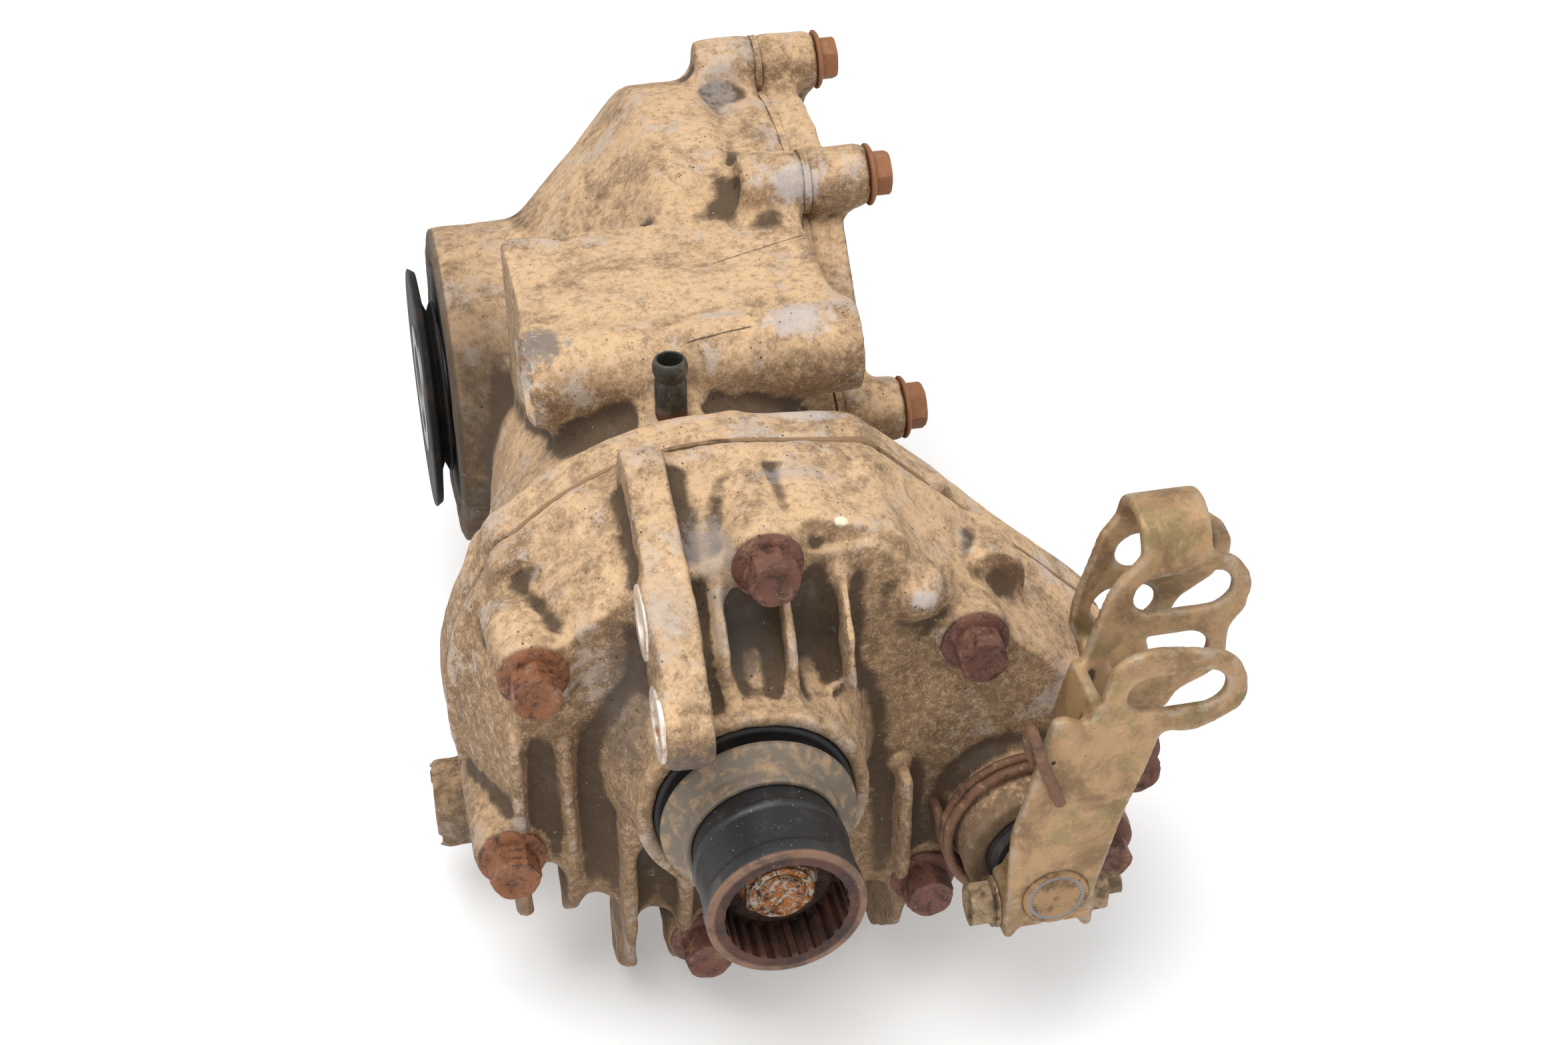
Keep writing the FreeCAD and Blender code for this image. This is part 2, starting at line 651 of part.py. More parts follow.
def gear_case():
    """One casting: rear half of the brake housing, pinion body, axle body, tubes and web."""
    plate = slab("Y", draw_belt, housing_belt(size(0)), case_front_y, case_back_y)
    shoulder = loft("Y", housing_belt(size(0)), case_back_y,
                    housing_belt(size(7)), case_back_y + 7)
    solids = [
        plate,
        shoulder,
        cone("Y", INPUT, dim.body_radius, dim.body_rear_radius, case_back_y, body_end_y),
        bar("X", AXLE, dim.neck_radius, dim.neck_end_x, dim.neck_root_x + 2),
        cone("X", AXLE, dim.neck_radius + 1, dim.bell_radius, dim.neck_root_x, dim.bell_left_x),
        bar("X", AXLE, dim.bell_radius, dim.bell_left_x, dim.rim_left_x),
        bar("X", AXLE, rim_radius, dim.rim_left_x, dim.cover_face_x),
    ]
    for place in COVER_BOLTS:
        solids.append(bar("Y", place, dim.column_radius, case_front_y, case_boss_end_y))
    for place in RING_BOLTS:
        solids.append(bar("X", place, dim.ring_boss_radius, dim.ring_boss_left_x,
                          dim.cover_face_x))
    upper = (dim.upper_tube_y, dim.upper_tube_z)
    lower = (dim.lower_tube_y, dim.lower_tube_z)
    web_low_z = dim.web_top_z - dim.web_thickness
    solids += [
        bar("X", upper, dim.tube_radius, dim.upper_tube_left_x, dim.upper_tube_right_x),
        bar("X", lower, dim.tube_radius, dim.lower_tube_left_x, dim.lower_tube_right_x),
        block((dim.upper_tube_left_x + 2, dim.upper_tube_y, web_low_z),
              (dim.upper_tube_right_x - 5, body_end_y, dim.web_top_z)),
        slab("X", draw_polygon, [
            (dim.upper_tube_y, dim.upper_tube_z - 8), (body_end_y, 20), (body_end_y, dim.web_top_z),
            (dim.upper_tube_y, dim.web_top_z)],
            dim.upper_tube_left_x + 2, dim.upper_tube_left_x + 8),
        slab("X", draw_polygon, [
            (dim.upper_tube_y, dim.upper_tube_z - 10), (body_end_y, 45), (body_end_y, dim.web_top_z),
            (dim.upper_tube_y, dim.web_top_z)],
            dim.upper_tube_right_x - 11, dim.upper_tube_right_x - 5),
        slab("X", draw_polygon, [
            (dim.lower_tube_y - 9, dim.lower_tube_z), (dim.lower_tube_y, -20),
            (-85, -20), (dim.lower_tube_y + 9, dim.lower_tube_z)],
            dim.lower_tube_left_x + 14, dim.lower_tube_left_x + 19),
        bar("Z", VENT, dim.vent_radius + 3.7, 45, dim.vent_boss_top_z),
        bar("Y", FILLER, dim.filler_radius + 3, dim.filler_seat_y - 28, dim.filler_seat_y),
        bar("Z", DRAIN, dim.drain_radius + 5, dim.drain_seat_z, dim.drain_seat_z + 19),
    ]
    inside_radius = dim.bell_radius - dim.bell_wall
    neck_inside = dim.axle_bearing_outer - 4
    pinion_seat_y = dim.pinion_bearing_y - 1
    pinion_end_y = dim.tooth_face - dim.ring_pitch_radius
    hollows = [
        bar("X", AXLE, inside_radius, dim.bell_left_x, dim.cover_face_x + 1),
        cone("X", AXLE, neck_inside, inside_radius, dim.neck_root_x - 1, dim.bell_left_x + 0.01),
        bar("X", AXLE, dim.axle_bearing_outer + dim.fit_gap, dim.left_bearing_x, -25),
        bar("X", AXLE, dim.axle_bearing_outer - 6, dim.left_bearing_x - 2, -25),
        bar("X", AXLE, dim.axle_bearing_outer - 2 + dim.fit_gap, dim.neck_end_x - 1,
            dim.left_bearing_x - 1),
        cut(cone("Y", INPUT, dim.body_radius - 9, dim.body_rear_radius - 9, case_back_y + 4, -66),
            [bar("Y", INPUT, dim.pinion_tube_radius, case_back_y, -82)]),
        bar("Y", INPUT, dim.pinion_bearing_outer + dim.fit_gap, pinion_seat_y, pinion_end_y - 10),
        bar("Y", INPUT, dim.pinion_bearing_outer - 4, pinion_end_y - 12, pinion_end_y + 6),
        bar("Y", INPUT, dim.pinion_bearing_outer - 5, case_front_y - 1, -90),
        bar("Y", CAM, dim.cam_pivot_radius + dim.fit_gap, case_front_y - 1, case_front_y + 8),
        bar("X", upper, dim.tube_bore_radius, dim.upper_tube_left_x - 1,
            dim.upper_tube_right_x + 1),
        bar("X", lower, dim.tube_bore_radius, dim.lower_tube_left_x - 1,
            dim.lower_tube_right_x + 1),
        bar("Z", VENT, vent_root_radius + dim.fit_gap, vent_low_z - 1.5, dim.vent_boss_top_z + 8),
        bar("Z", VENT, dim.vent_bore, vent_low_z - 12, vent_low_z),
        bar("Y", FILLER, dim.filler_radius + dim.fit_gap, dim.filler_seat_y - 38,
            dim.filler_seat_y + 1),
        bar("Z", DRAIN, dim.drain_radius + dim.fit_gap, dim.drain_seat_z - 2,
            dim.drain_seat_z + 30),
        bar("X", AXLE, rim_radius + 1, dim.cover_face_x, dim.ring_seat_x),
    ]
    for place in COVER_BOLTS:
        hollows.append(bar("Y", place, dim.bolt_shank_radius + dim.fit_gap,
                           case_front_y - 1, case_boss_end_y - 2.5))
    for place in RING_BOLTS:
        hollows.append(bar("X", place, dim.bolt_shank_radius + dim.fit_gap,
                           dim.ring_boss_left_x - 1, dim.cover_face_x + 1))
        hollows.append(bar("X", place, dim.ring_boss_radius + 1, dim.cover_face_x,
                           dim.ring_seat_x))
    for place in DOWELS:
        hollows.append(bar("Y", place, dim.dowel_radius + dim.fit_gap, case_front_y - 1,
                           case_front_y + dim.dowel_depth))
    return cut(fuse(solids), hollows)


node("gear_case", gear_case())


# Return spring places

spring_back_y = dim.spring_front_y + dim.spring_pitch * dim.spring_turns
spring_anchor_angle = dim.spring_hook_angle - 360 * dim.spring_turns


def spring_point(angle, along):
    """Point (x, y, z) on the coil's centre line."""
    return (dim.cam_x + dim.spring_radius * cosine(angle), along,
            dim.cam_z + dim.spring_radius * sine(angle))


# The back end runs on by the anchor's length and then bends into the cover.
spring_anchor = (
    spring_point(spring_anchor_angle, spring_back_y)[0] + dim.spring_leg * sine(spring_anchor_angle),
    spring_point(spring_anchor_angle, spring_back_y)[2] - dim.spring_leg * cosine(spring_anchor_angle),
)

# Brake cover

boss_bore_radius = dim.shaft_radius + 8
cam_seal_radius = dim.cam_shaft_radius + 5
cam_seal_depth = 4
lug_circles = [
    (-161.6, 69.5, 9), (-198, 54, 11), (-217, 36.5, 11.5), (-190, 44, 12),
]
LUG_HOLES = [(-198, 53.5), (-217.5, 37)]


def brake_cover():
    """Front half of the brake housing with its bolt columns, bosses, fins and cable lug."""
    rim_front_y = dim.split_y - dim.flange_depth
    inner_wall_y = dim.cover_front_y + dim.cover_wall
    solids = [
        slab("Y", draw_belt, housing_belt(size(0)), rim_front_y, cover_back_y),
        loft("Y", housing_belt(dim.cover_draft), dim.cover_front_y,
             housing_belt(size(1.5)), rim_front_y + 0.01),
        bar("Y", INPUT, dim.boss_radius, dim.boss_front_y, dim.cover_front_y + 6),
        cone("Y", INPUT, dim.boss_radius, dim.boss_radius + 9, dim.boss_front_y + 9,
             dim.cover_front_y + 6),
        bar("Y", CAM, dim.cam_boss_radius, dim.cam_boss_front_y, dim.cover_front_y + 6),
        slab("Y", draw_belt, [(17, 48, 10), (36, 54, 10), (20, 61, 9)],
             dim.seat_y + 4, dim.split_y - 1),
    ]
    for place in COVER_BOLTS:
        solids.append(bar("Y", place, dim.column_radius, dim.seat_y, cover_back_y))
    low_z = dim.fin_low_z
    half = dim.fin_thickness / 2
    long_fin = [
        (-156, -40), (-160, -60), (-160, low_z), (-169, low_z), (-192, -72),
        (-199, -40), (-199, -12), (-184, -12),
    ]
    side_fin = [
        (-156, -20), (-158, -64), (-166, -72), (-188, -50), (-193, -20), (-193, 12), (-180, 16),
    ]
    for middle in (-31, -16, 44):
        solids.append(slab("X", draw_polygon, long_fin, middle - half, middle + half))
    for middle in (-58, -45):
        solids.append(slab("X", draw_polygon, side_fin, middle - half, middle + half))
    short_rib = [(-184, 27), (-207, 27), (-202, 42), (-190, 56), (-184, 56)]
    for middle in (-5, 12, 27):
        solids.append(slab("X", draw_polygon, short_rib, middle - half * 0.8,
                           middle + half * 0.8))
    solids.append(slab("X", draw_belt, lug_circles, dim.lug_left_x, dim.lug_right_x))
    solids.append(slab("X", draw_polygon, [(-182, 20), (-200, 28), (-196, 60), (-154, 74),
                                           (-154, 50)], dim.lug_left_x + 2, dim.lug_right_x - 1))
    for place in LUG_HOLES:
        solids.append(bar("X", place, dim.lug_hole_radius + 4.5, dim.lug_left_x - 1.6,
                          dim.lug_right_x))
    solids.append(bar("Z", BRAKE_DRAIN, dim.brake_drain_radius + 5, dim.brake_drain_seat_z,
                      dim.brake_drain_seat_z + 20))
    inner_hub = bar("Y", INPUT, dim.boss_radius - 0.5, dim.cover_front_y, dim.boss_inner_y)
    cavity = slab("Y", draw_belt, chamber_belt(size(0)), inner_wall_y, dim.split_y + 1)
    recesses = [
        bar("Z", BRAKE_DRAIN, dim.brake_drain_radius + dim.fit_gap, dim.brake_drain_seat_z - 2,
            dim.brake_drain_seat_z + 35),
        bar("Y", spring_anchor, dim.spring_wire + dim.free_gap, dim.cover_front_y - 1,
            dim.cover_front_y + 3.6),
    ]
    for direction in tab_directions():
        recesses.append(tab(direction, dim.chamber_radius + dim.tab_reach + dim.free_gap,
                            dim.tab_width + 2 * dim.free_gap, dim.plate_front_y - 3,
                            dim.split_y + 1))
    for place in COVER_BOLTS:
        recesses.append(bar("Y", place, dim.bolt_shank_radius + dim.thread_gap,
                            dim.seat_y - 1, dim.split_y + 1))
        recesses.append(bar("Y", place, dim.bolt_flange_radius + dim.free_gap,
                            dim.seat_y - 15, dim.seat_y))
    for place in DOWELS:
        recesses.append(bar("Y", place, dim.dowel_radius + dim.fit_gap,
                            dim.split_y - dim.dowel_depth, dim.split_y + 1))
    for place in LUG_HOLES:
        recesses.append(bar("X", place, dim.lug_hole_radius, dim.lug_left_x - 3,
                            dim.lug_right_x + 1))
    shell = cut(cut(fuse(solids), [cavity]), recesses)
    bores = [
        bar("Y", INPUT, dim.front_bearing_outer + dim.fit_gap, dim.boss_front_y - 1,
            dim.front_bearing_y + dim.front_bearing_width),
        bar("Y", INPUT, boss_bore_radius, dim.front_bearing_y - 1, dim.boss_inner_y + 1),
        bar("Y", CAM, dim.cam_shaft_radius + dim.fit_gap, dim.cam_boss_front_y - 1,
            inner_wall_y + 1),
        bar("Y", CAM, cam_seal_radius + dim.fit_gap, dim.cam_boss_front_y - 1,
            dim.cam_boss_front_y + cam_seal_depth),
    ]
    return cut(fuse([shell, inner_hub]), bores)


node("brake_cover", brake_cover())


def brake_cover_gasket():
    """Flat gasket with the housing outline."""
    solids = [slab("Y", draw_belt, housing_belt(size(0)), cover_back_y, case_front_y)]
    holes = [slab("Y", draw_belt, chamber_belt(size(0)), cover_back_y - 1, case_front_y + 1)]
    for place in COVER_BOLTS:
        solids.append(bar("Y", place, dim.column_radius, cover_back_y, case_front_y))
        holes.append(bar("Y", place, dim.bolt_shank_radius + dim.thread_gap,
                         cover_back_y - 1, case_front_y + 1))
    for place in DOWELS:
        holes.append(bar("Y", place, dim.dowel_radius + dim.fit_gap, cover_back_y - 1,
                         case_front_y + 1))
    for direction in tab_directions():
        holes.append(tab(direction, dim.chamber_radius + dim.tab_reach + dim.free_gap,
                         dim.tab_width + 2 * dim.free_gap, cover_back_y - 1, case_front_y + 1))
    return cut(fuse(solids), holes)


node("brake_cover_gasket", brake_cover_gasket())
node("brake_cover_bolts", group([
    flange_bolt("Y", place, dim.seat_y, case_boss_end_y - 4, -1, dim.bolt_head_height)
    for place in COVER_BOLTS]))
node("dowel_pins", group([
    bar("Y", place, dim.dowel_radius, dim.split_y - dim.dowel_depth + 0.5,
        case_front_y + dim.dowel_depth - 0.5) for place in DOWELS]))


def plug(centre, radius, seat, depth):
    """A drain plug from below: threaded shank, washer face and hexagon head."""
    return fuse([
        bar("Z", centre, radius, seat, seat + depth),
        bar("Z", centre, radius + 3.2, seat - 1.5, seat),
        hexagon("Z", centre, radius + 2, seat - 6, seat - 1.5)])


node("brake_drain_plug", plug(BRAKE_DRAIN, dim.brake_drain_radius, dim.brake_drain_seat_z, 16))

# Ring gear cover

cover_out_x = dim.cover_face_x + dim.cover_thickness
cover_in_x = dim.cover_face_x + dim.gasket_thickness
right_bearing_end_x = dim.right_bearing_x + dim.axle_bearing_width
chamber_inside = dim.bell_radius - dim.bell_wall


def ring_gear_cover():
    """Round cover on the right that carries the right axle bearing."""
    solids = [
        cut(bar("X", AXLE, rim_radius, cover_in_x, cover_out_x),
            [bar("X", AXLE, rim_radius - 14, cover_in_x - 1, cover_out_x - 6)]),
        bar("X", AXLE, dim.cover_hub_radius, dim.right_bearing_x - 0.5, dim.cover_hub_end_x),
        cone("X", AXLE, dim.cover_hub_radius + 8, dim.cover_hub_radius, cover_out_x - 1,
             dim.cover_hub_end_x),
    ]
    for place in RING_BOLTS:
        solids.append(bar("X", place, dim.ring_boss_radius, cover_in_x, dim.ring_seat_x))
    for index in range(8):
        angle = dim.ring_bolt_first + 45 * index
        corners = strip((cosine(angle), sine(angle)), dim.cover_hub_radius - 2,
                        ring_bolt_circle_radius - 6, dim.fin_thickness)
        solids.append(slab("X", draw_polygon, corners, cover_out_x - 2, cover_out_x + 4))
    hollows = [
        bar("X", AXLE, dim.axle_bearing_outer + dim.fit_gap, dim.right_bearing_x - 2,
            right_bearing_end_x),
        bar("X", AXLE, dim.axle_bearing_outer - 7, right_bearing_end_x - 1,
            right_bearing_end_x + 2),
        bar("X", AXLE, dim.axle_bearing_outer - 4 + dim.fit_gap, right_bearing_end_x + 1,
            dim.cover_hub_end_x + 1),
    ]
    for place in RING_BOLTS:
        hollows.append(bar("X", place, dim.bolt_shank_radius + dim.thread_gap,
                           cover_in_x - 1, dim.ring_seat_x + 1))
    return cut(fuse(solids), hollows)


def ring_cover_gasket():
    """Ring gasket under the ring gear cover."""
    solids = [bar("X", AXLE, rim_radius, dim.cover_face_x, cover_in_x)]
    holes = [bar("X", AXLE, chamber_inside, dim.cover_face_x - 1, cover_in_x + 1)]
    for place in RING_BOLTS:
        solids.append(bar("X", place, dim.ring_boss_radius, dim.cover_face_x, cover_in_x))
        holes.append(bar("X", place, dim.bolt_shank_radius + dim.thread_gap,
                         dim.cover_face_x - 1, cover_in_x + 1))
    return cut(fuse(solids), holes)


node("ring_gear_cover", ring_gear_cover())
node("ring_cover_gasket", ring_cover_gasket())
node("ring_cover_bolts", group([
    flange_bolt("X", place, dim.ring_seat_x, dim.ring_boss_left_x + 6, 1,
                dim.ring_bolt_head_height)
    for place in RING_BOLTS]))

# Plugs, vent pipe and their rings

filler_rim_y = dim.filler_seat_y + 1.5
node("gear_drain_plug", plug(DRAIN, dim.drain_radius, dim.drain_seat_z, 15))
node("oil_filler_plug", cut(
    fuse([bar("Y", FILLER, dim.filler_radius, filler_rim_y - 14, filler_rim_y),
          bar("Y", FILLER, dim.filler_radius + 3, filler_rim_y, filler_rim_y + 3),
          hexagon("Y", FILLER, dim.filler_radius, filler_rim_y + 2, filler_rim_y + 8)]),
    [bar("Y", FILLER, dim.filler_radius - 4, filler_rim_y + 5, filler_rim_y + 9)]))
node("filler_o_ring", tube("Y", FILLER, dim.filler_radius + 2, dim.filler_radius + dim.fit_gap,
                           dim.filler_seat_y, filler_rim_y))
node("vent_pipe", cut(
    turned("Z", [
        (vent_low_z, 0), (dim.vent_top_z, 0), (dim.vent_top_z, vent_root_radius),
        (dim.vent_top_z - 0.8, dim.vent_radius), (dim.vent_boss_top_z, dim.vent_radius),
        (dim.vent_boss_top_z, vent_root_radius), (vent_low_z, vent_root_radius)], VENT),
    [bar("Z", VENT, dim.vent_bore, vent_low_z - 1, dim.vent_top_z + 1)]))

# Input coupling, its nut, the dust shield and the oil seal

bearing_front_y = dim.front_bearing_y
shield_y = size(-222)


def input_coupling():
    """Sleeve with inner splines at the front and a seal neck at the back."""
    rim = dim.coupling_radius
    body = turned("Y", [
        (dim.mouth_y, dim.coupling_bore_radius),
        (dim.mouth_y, rim - 0.8), (dim.mouth_y + 0.8, rim),
        (dim.mouth_y + 5, rim), (dim.mouth_y + 5.5, rim - 0.5),
        (dim.mouth_y + 17, rim - 0.5), (dim.mouth_y + 18, rim), (dim.mouth_y + 19.5, rim),
        (dim.mouth_y + 20.5, rim - 1.2), (shield_y + 6, rim - 1.2),
        (shield_y + 6, dim.seal_journal_radius), (bearing_front_y, dim.seal_journal_radius),
        (bearing_front_y, dim.input_spline_radius + dim.fit_gap),
        (dim.coupling_floor_y, dim.input_spline_radius + dim.fit_gap),
        (dim.coupling_floor_y, dim.coupling_bore_radius)])
    splined_bore(body, dim.mouth_y - 1, dim.coupling_floor_y,
                 dim.coupling_bore_radius + dim.spline_depth, 2.1, 24)
    return body


def coupling_nut():
    """Flanged nut that holds the coupling, with its staked collar."""
    seat = dim.coupling_floor_y
    solid = fuse([
        bar("Y", INPUT, dim.coupling_bore_radius - 0.6, seat - 1.8, seat),
        hexagon("Y", INPUT, 9.8, seat - 5.2, seat - 1.8),
        bar("Y", INPUT, 8.2, seat - 6.4, seat - 5.2),
    ])
    return cut(solid, [bar("Y", INPUT, 6 + dim.fit_gap, seat - 8, seat + 1)])


node("input_coupling", input_coupling())
node("coupling_nut", coupling_nut())
shield_inner = dim.coupling_radius - 1.2 + dim.fit_gap
node("dust_shield", turned("Y", [
    (shield_y - 3, shield_inner), (shield_y - 3, shield_inner + 1.6),
    (shield_y + 1, shield_inner + 2), (shield_y + 5, 25.4), (shield_y + 6.6, 25.4),
    (shield_y + 3, shield_inner + 2), (shield_y + 3, shield_inner)]))
node("input_oil_seal", turned("Y", [
    (dim.boss_front_y + 0.8, dim.seal_journal_radius + dim.free_gap + 1.5),
    (dim.boss_front_y + 0.8, dim.front_bearing_outer - 2.5),
    (dim.boss_front_y + 0.2, dim.front_bearing_outer - 1),
    (dim.boss_front_y + 0.8, dim.front_bearing_outer),
    (bearing_front_y - 1, dim.front_bearing_outer),
    (bearing_front_y - 1, dim.front_bearing_outer - 3),
    (bearing_front_y - 3, dim.seal_journal_radius + 3),
    (bearing_front_y - 2, dim.seal_journal_radius + dim.fit_gap),
    (bearing_front_y - 5, dim.seal_journal_radius + dim.fit_gap)]))


def ball_bearing(name, axis, bore, outer, start, width, count):
    """A ball bearing as four parts: two races, a ring of balls and their cage."""
    pitch = (bore + outer) / 2
    radius = (outer - bore) * 0.27
    middle = start + width / 2
    land = radius * 0.55
    track = torus(axis, INPUT, pitch, radius + dim.fit_gap, middle)
    node(name + "_outer_race", cut(
        tube(axis, INPUT, outer, pitch + land, start, start + width), [track]))
    track = torus(axis, INPUT, pitch, radius + dim.fit_gap, middle)
    node(name + "_inner_race", cut(
        tube(axis, INPUT, pitch - land, bore + dim.fit_gap, start, start + width), [track]))
    balls = []
    pockets = []
    reach = radius + 2 * dim.fit_gap
    for index in range(count):
        angle = size(360 / count * index)
        direction = (cosine(angle), sine(angle))
        across = pitch * direction[0]
        up = pitch * direction[1]
        balls.append(ball((middle, across, up) if axis == "X" else (across, middle, up), radius))
        pockets.append(slab(axis, draw_polygon, strip(direction, pitch - 4, pitch + 4, 2 * reach),
                            middle - reach, middle + reach))
    node(name + "_balls", group(balls))
    rail = radius + 1.2
    node(name + "_cage", cut(
        tube(axis, INPUT, pitch + 0.9, pitch - 0.9, middle - rail, middle + rail), pockets))


ball_bearing("front_bearing", "Y", dim.front_bearing_bore, dim.front_bearing_outer,
             dim.front_bearing_y, dim.front_bearing_width, 9)
ball_bearing("pinion_bearing", "Y", dim.pinion_bearing_bore, dim.pinion_bearing_outer,
             dim.pinion_bearing_y, dim.pinion_bearing_width, 10)
ball_bearing("left_axle_bearing", "X", dim.axle_journal_radius, dim.axle_bearing_outer,
             dim.left_bearing_x, dim.axle_bearing_width, 10)
ball_bearing("right_axle_bearing", "X", dim.axle_journal_radius, dim.axle_bearing_outer,
             dim.right_bearing_x, dim.axle_bearing_width, 10)

# Pinion shaft and ring gear

pinion_pitch_radius = dim.ring_pitch_radius * dim.pinion_teeth / dim.ring_teeth
tooth_inner_radius = dim.ring_pitch_radius - dim.tooth_face


def ring_bolt_seats():
    """Centres (y, z) of the bolts that hold the ring gear."""
    places = []
    for index in range(8):
        angle = 45 * index
        places.append((dim.ring_bolt_circle * cosine(angle), dim.ring_bolt_circle * sine(angle)))
    return places


def pinion_section(body, distance, sink):
    """Sketch of one pinion tooth across the input axis, DISTANCE from the origin."""
    share = distance / dim.ring_pitch_radius
    sketch = body.newObject("Sketcher::SketchObject", "tooth_section")
    sketch.AttachmentSupport = [(origin_part(body, "YZ_Plane"), "")]
    sketch.MapMode = "FlatFace"
    sketch.AttachmentOffset = FreeCAD.Placement(Vector(), Rotation(Vector(0, 0, 1), 15))
    bind(sketch, "AttachmentOffset.Base.z", size(0) - distance)
    bind(sketch, "AttachmentOffset.Rotation.Angle", 90 + 180 / dim.pinion_teeth)
    root = (pinion_pitch_radius - dim.tooth_in - sink) * share
    tip = (pinion_pitch_radius + dim.tooth_out) * share
    root_half = (dim.tooth_half_width + dim.tooth_in * 0.3) * share
    tip_half = (dim.tooth_half_width - dim.tooth_out * 0.42) * share
    draw_polygon(sketch, [
        (0 - root_half, root), (root_half, root), (tip_half, tip), (0 - tip_half, tip)])
    return sketch


def pinion_shaft():
    """Shaft with the pinion's teeth on its rear end, turned along the input axis."""
    taper = (pinion_pitch_radius - dim.tooth_in) / dim.ring_pitch_radius
    seat_end = dim.pinion_bearing_y + dim.pinion_bearing_width
    front_end = dim.front_bearing_y + dim.front_bearing_width
    body = turned("Y", [
        (dim.coupling_floor_y - 7, 0), (dim.coupling_floor_y - 7, 5.4),
        (dim.coupling_floor_y - 6.4, 6), (dim.coupling_floor_y + 0.5, 6),
        (dim.coupling_floor_y + 0.5, dim.input_spline_radius),
        (dim.front_bearing_y, dim.input_spline_radius),
        (dim.front_bearing_y, dim.front_bearing_bore), (front_end, dim.front_bearing_bore),
        (front_end, dim.shaft_radius), (dim.pinion_bearing_y - 2, dim.shaft_radius),
        (dim.pinion_bearing_y - 2, dim.pinion_bearing_bore),
        (seat_end, dim.pinion_bearing_bore), (seat_end, dim.pinion_bearing_bore + 3),
        (seat_end + 5, dim.pinion_bearing_bore + 3),
        (0 - dim.ring_pitch_radius - 5, taper * (dim.ring_pitch_radius + 5)),
        (0 - tooth_inner_radius, taper * tooth_inner_radius),
        (0 - tooth_inner_radius, 0)])
    large = pinion_section(body, dim.ring_pitch_radius, 1)
    small = pinion_section(body, tooth_inner_radius, 1)
    doc.recompute()
    tooth = body.newObject("PartDesign::AdditiveLoft", "tooth")
    tooth.Profile = large
    tooth.Sections = [small]
    tooth.Ruled = True
    body.Tip = tooth
    patterned(body, tooth, dim.pinion_teeth)
    return body


def ring_section(body, distance, sink):
    """Sketch of one ring gear tooth, on a plane DISTANCE in front of the axle axis."""
    share = distance / dim.ring_pitch_radius
    sketch = body.newObject("Sketcher::SketchObject", "tooth_section")
    sketch.AttachmentSupport = [(origin_part(body, "XZ_Plane"), "")]
    sketch.MapMode = "FlatFace"
    bind(sketch, "AttachmentOffset.Base.z", distance)
    root = (pinion_pitch_radius + dim.tooth_in + sink) * share
    tip = (pinion_pitch_radius - dim.tooth_out) * share
    root_half = (dim.tooth_half_width + dim.tooth_in * 0.35) * share
    tip_half = (dim.tooth_half_width - dim.tooth_out * 0.35) * share
    draw_polygon(sketch, [
        (tip, 0 - tip_half), (root, 0 - root_half), (root, root_half), (tip, tip_half)])
    return sketch


def ring_gear():
    """Bevel ring gear on the right of the pinion, its teeth facing left."""
    root = (pinion_pitch_radius + dim.tooth_in) / dim.ring_pitch_radius
    rim = dim.ring_pitch_radius + 2.5
    front = root * (tooth_inner_radius - 3)
    pilot = dim.ring_pilot_radius + dim.fit_gap
    body = turned("X", [
        (front, pilot), (front, tooth_inner_radius - 3), (root * rim, rim),
        (dim.ring_back_x - 4, rim), (dim.ring_back_x, rim - 4), (dim.ring_back_x, pilot)])
    large = ring_section(body, dim.ring_pitch_radius, 1.5)
    small = ring_section(body, tooth_inner_radius, 1.5)
    doc.recompute()
    tooth = body.newObject("PartDesign::AdditiveLoft", "tooth")
    tooth.Profile = large
    tooth.Sections = [small]
    tooth.Ruled = True
    body.Tip = tooth
    patterned(body, tooth, dim.ring_teeth)
    holes = [bar("X", place, dim.bolt_shank_radius + dim.thread_gap, 0, dim.ring_back_x + 1)
             for place in ring_bolt_seats()]
    return cut(body, holes)


ring_front_x = (pinion_pitch_radius + dim.tooth_in) / dim.ring_pitch_radius * (
    tooth_inner_radius - 3)
hub_flange_end_x = dim.ring_back_x + dim.hub_flange_thickness


def axle_hub():
    """Sleeve that the axle slides through, with the flange that drives it."""
    left_shoulder = dim.left_bearing_x + dim.axle_bearing_width
    journal = dim.axle_journal_radius
    body = turned("X", [
        (dim.hub_left_x, dim.axle_bore_radius), (dim.hub_left_x, journal),
        (left_shoulder, journal), (left_shoulder, journal + 5),
        (ring_front_x - 2, journal + 5), (ring_front_x - 2, dim.ring_pilot_radius),
        (dim.ring_back_x, dim.ring_pilot_radius), (dim.ring_back_x, dim.hub_flange_radius),
        (hub_flange_end_x, dim.hub_flange_radius), (hub_flange_end_x, journal + 4),
        (dim.right_bearing_x, journal + 4), (dim.right_bearing_x, journal),
        (dim.hub_right_x, journal), (dim.hub_right_x, dim.axle_bore_radius)])
    splined_bore(body, dim.hub_right_x - 34, dim.hub_right_x + 1,
                 dim.axle_bore_radius + dim.spline_depth, 1.9, 24)
    holes = [bar("X", place, dim.bolt_shank_radius + dim.fit_gap, ring_front_x,
                 hub_flange_end_x + 1) for place in ring_bolt_seats()]
    return cut(body, holes)


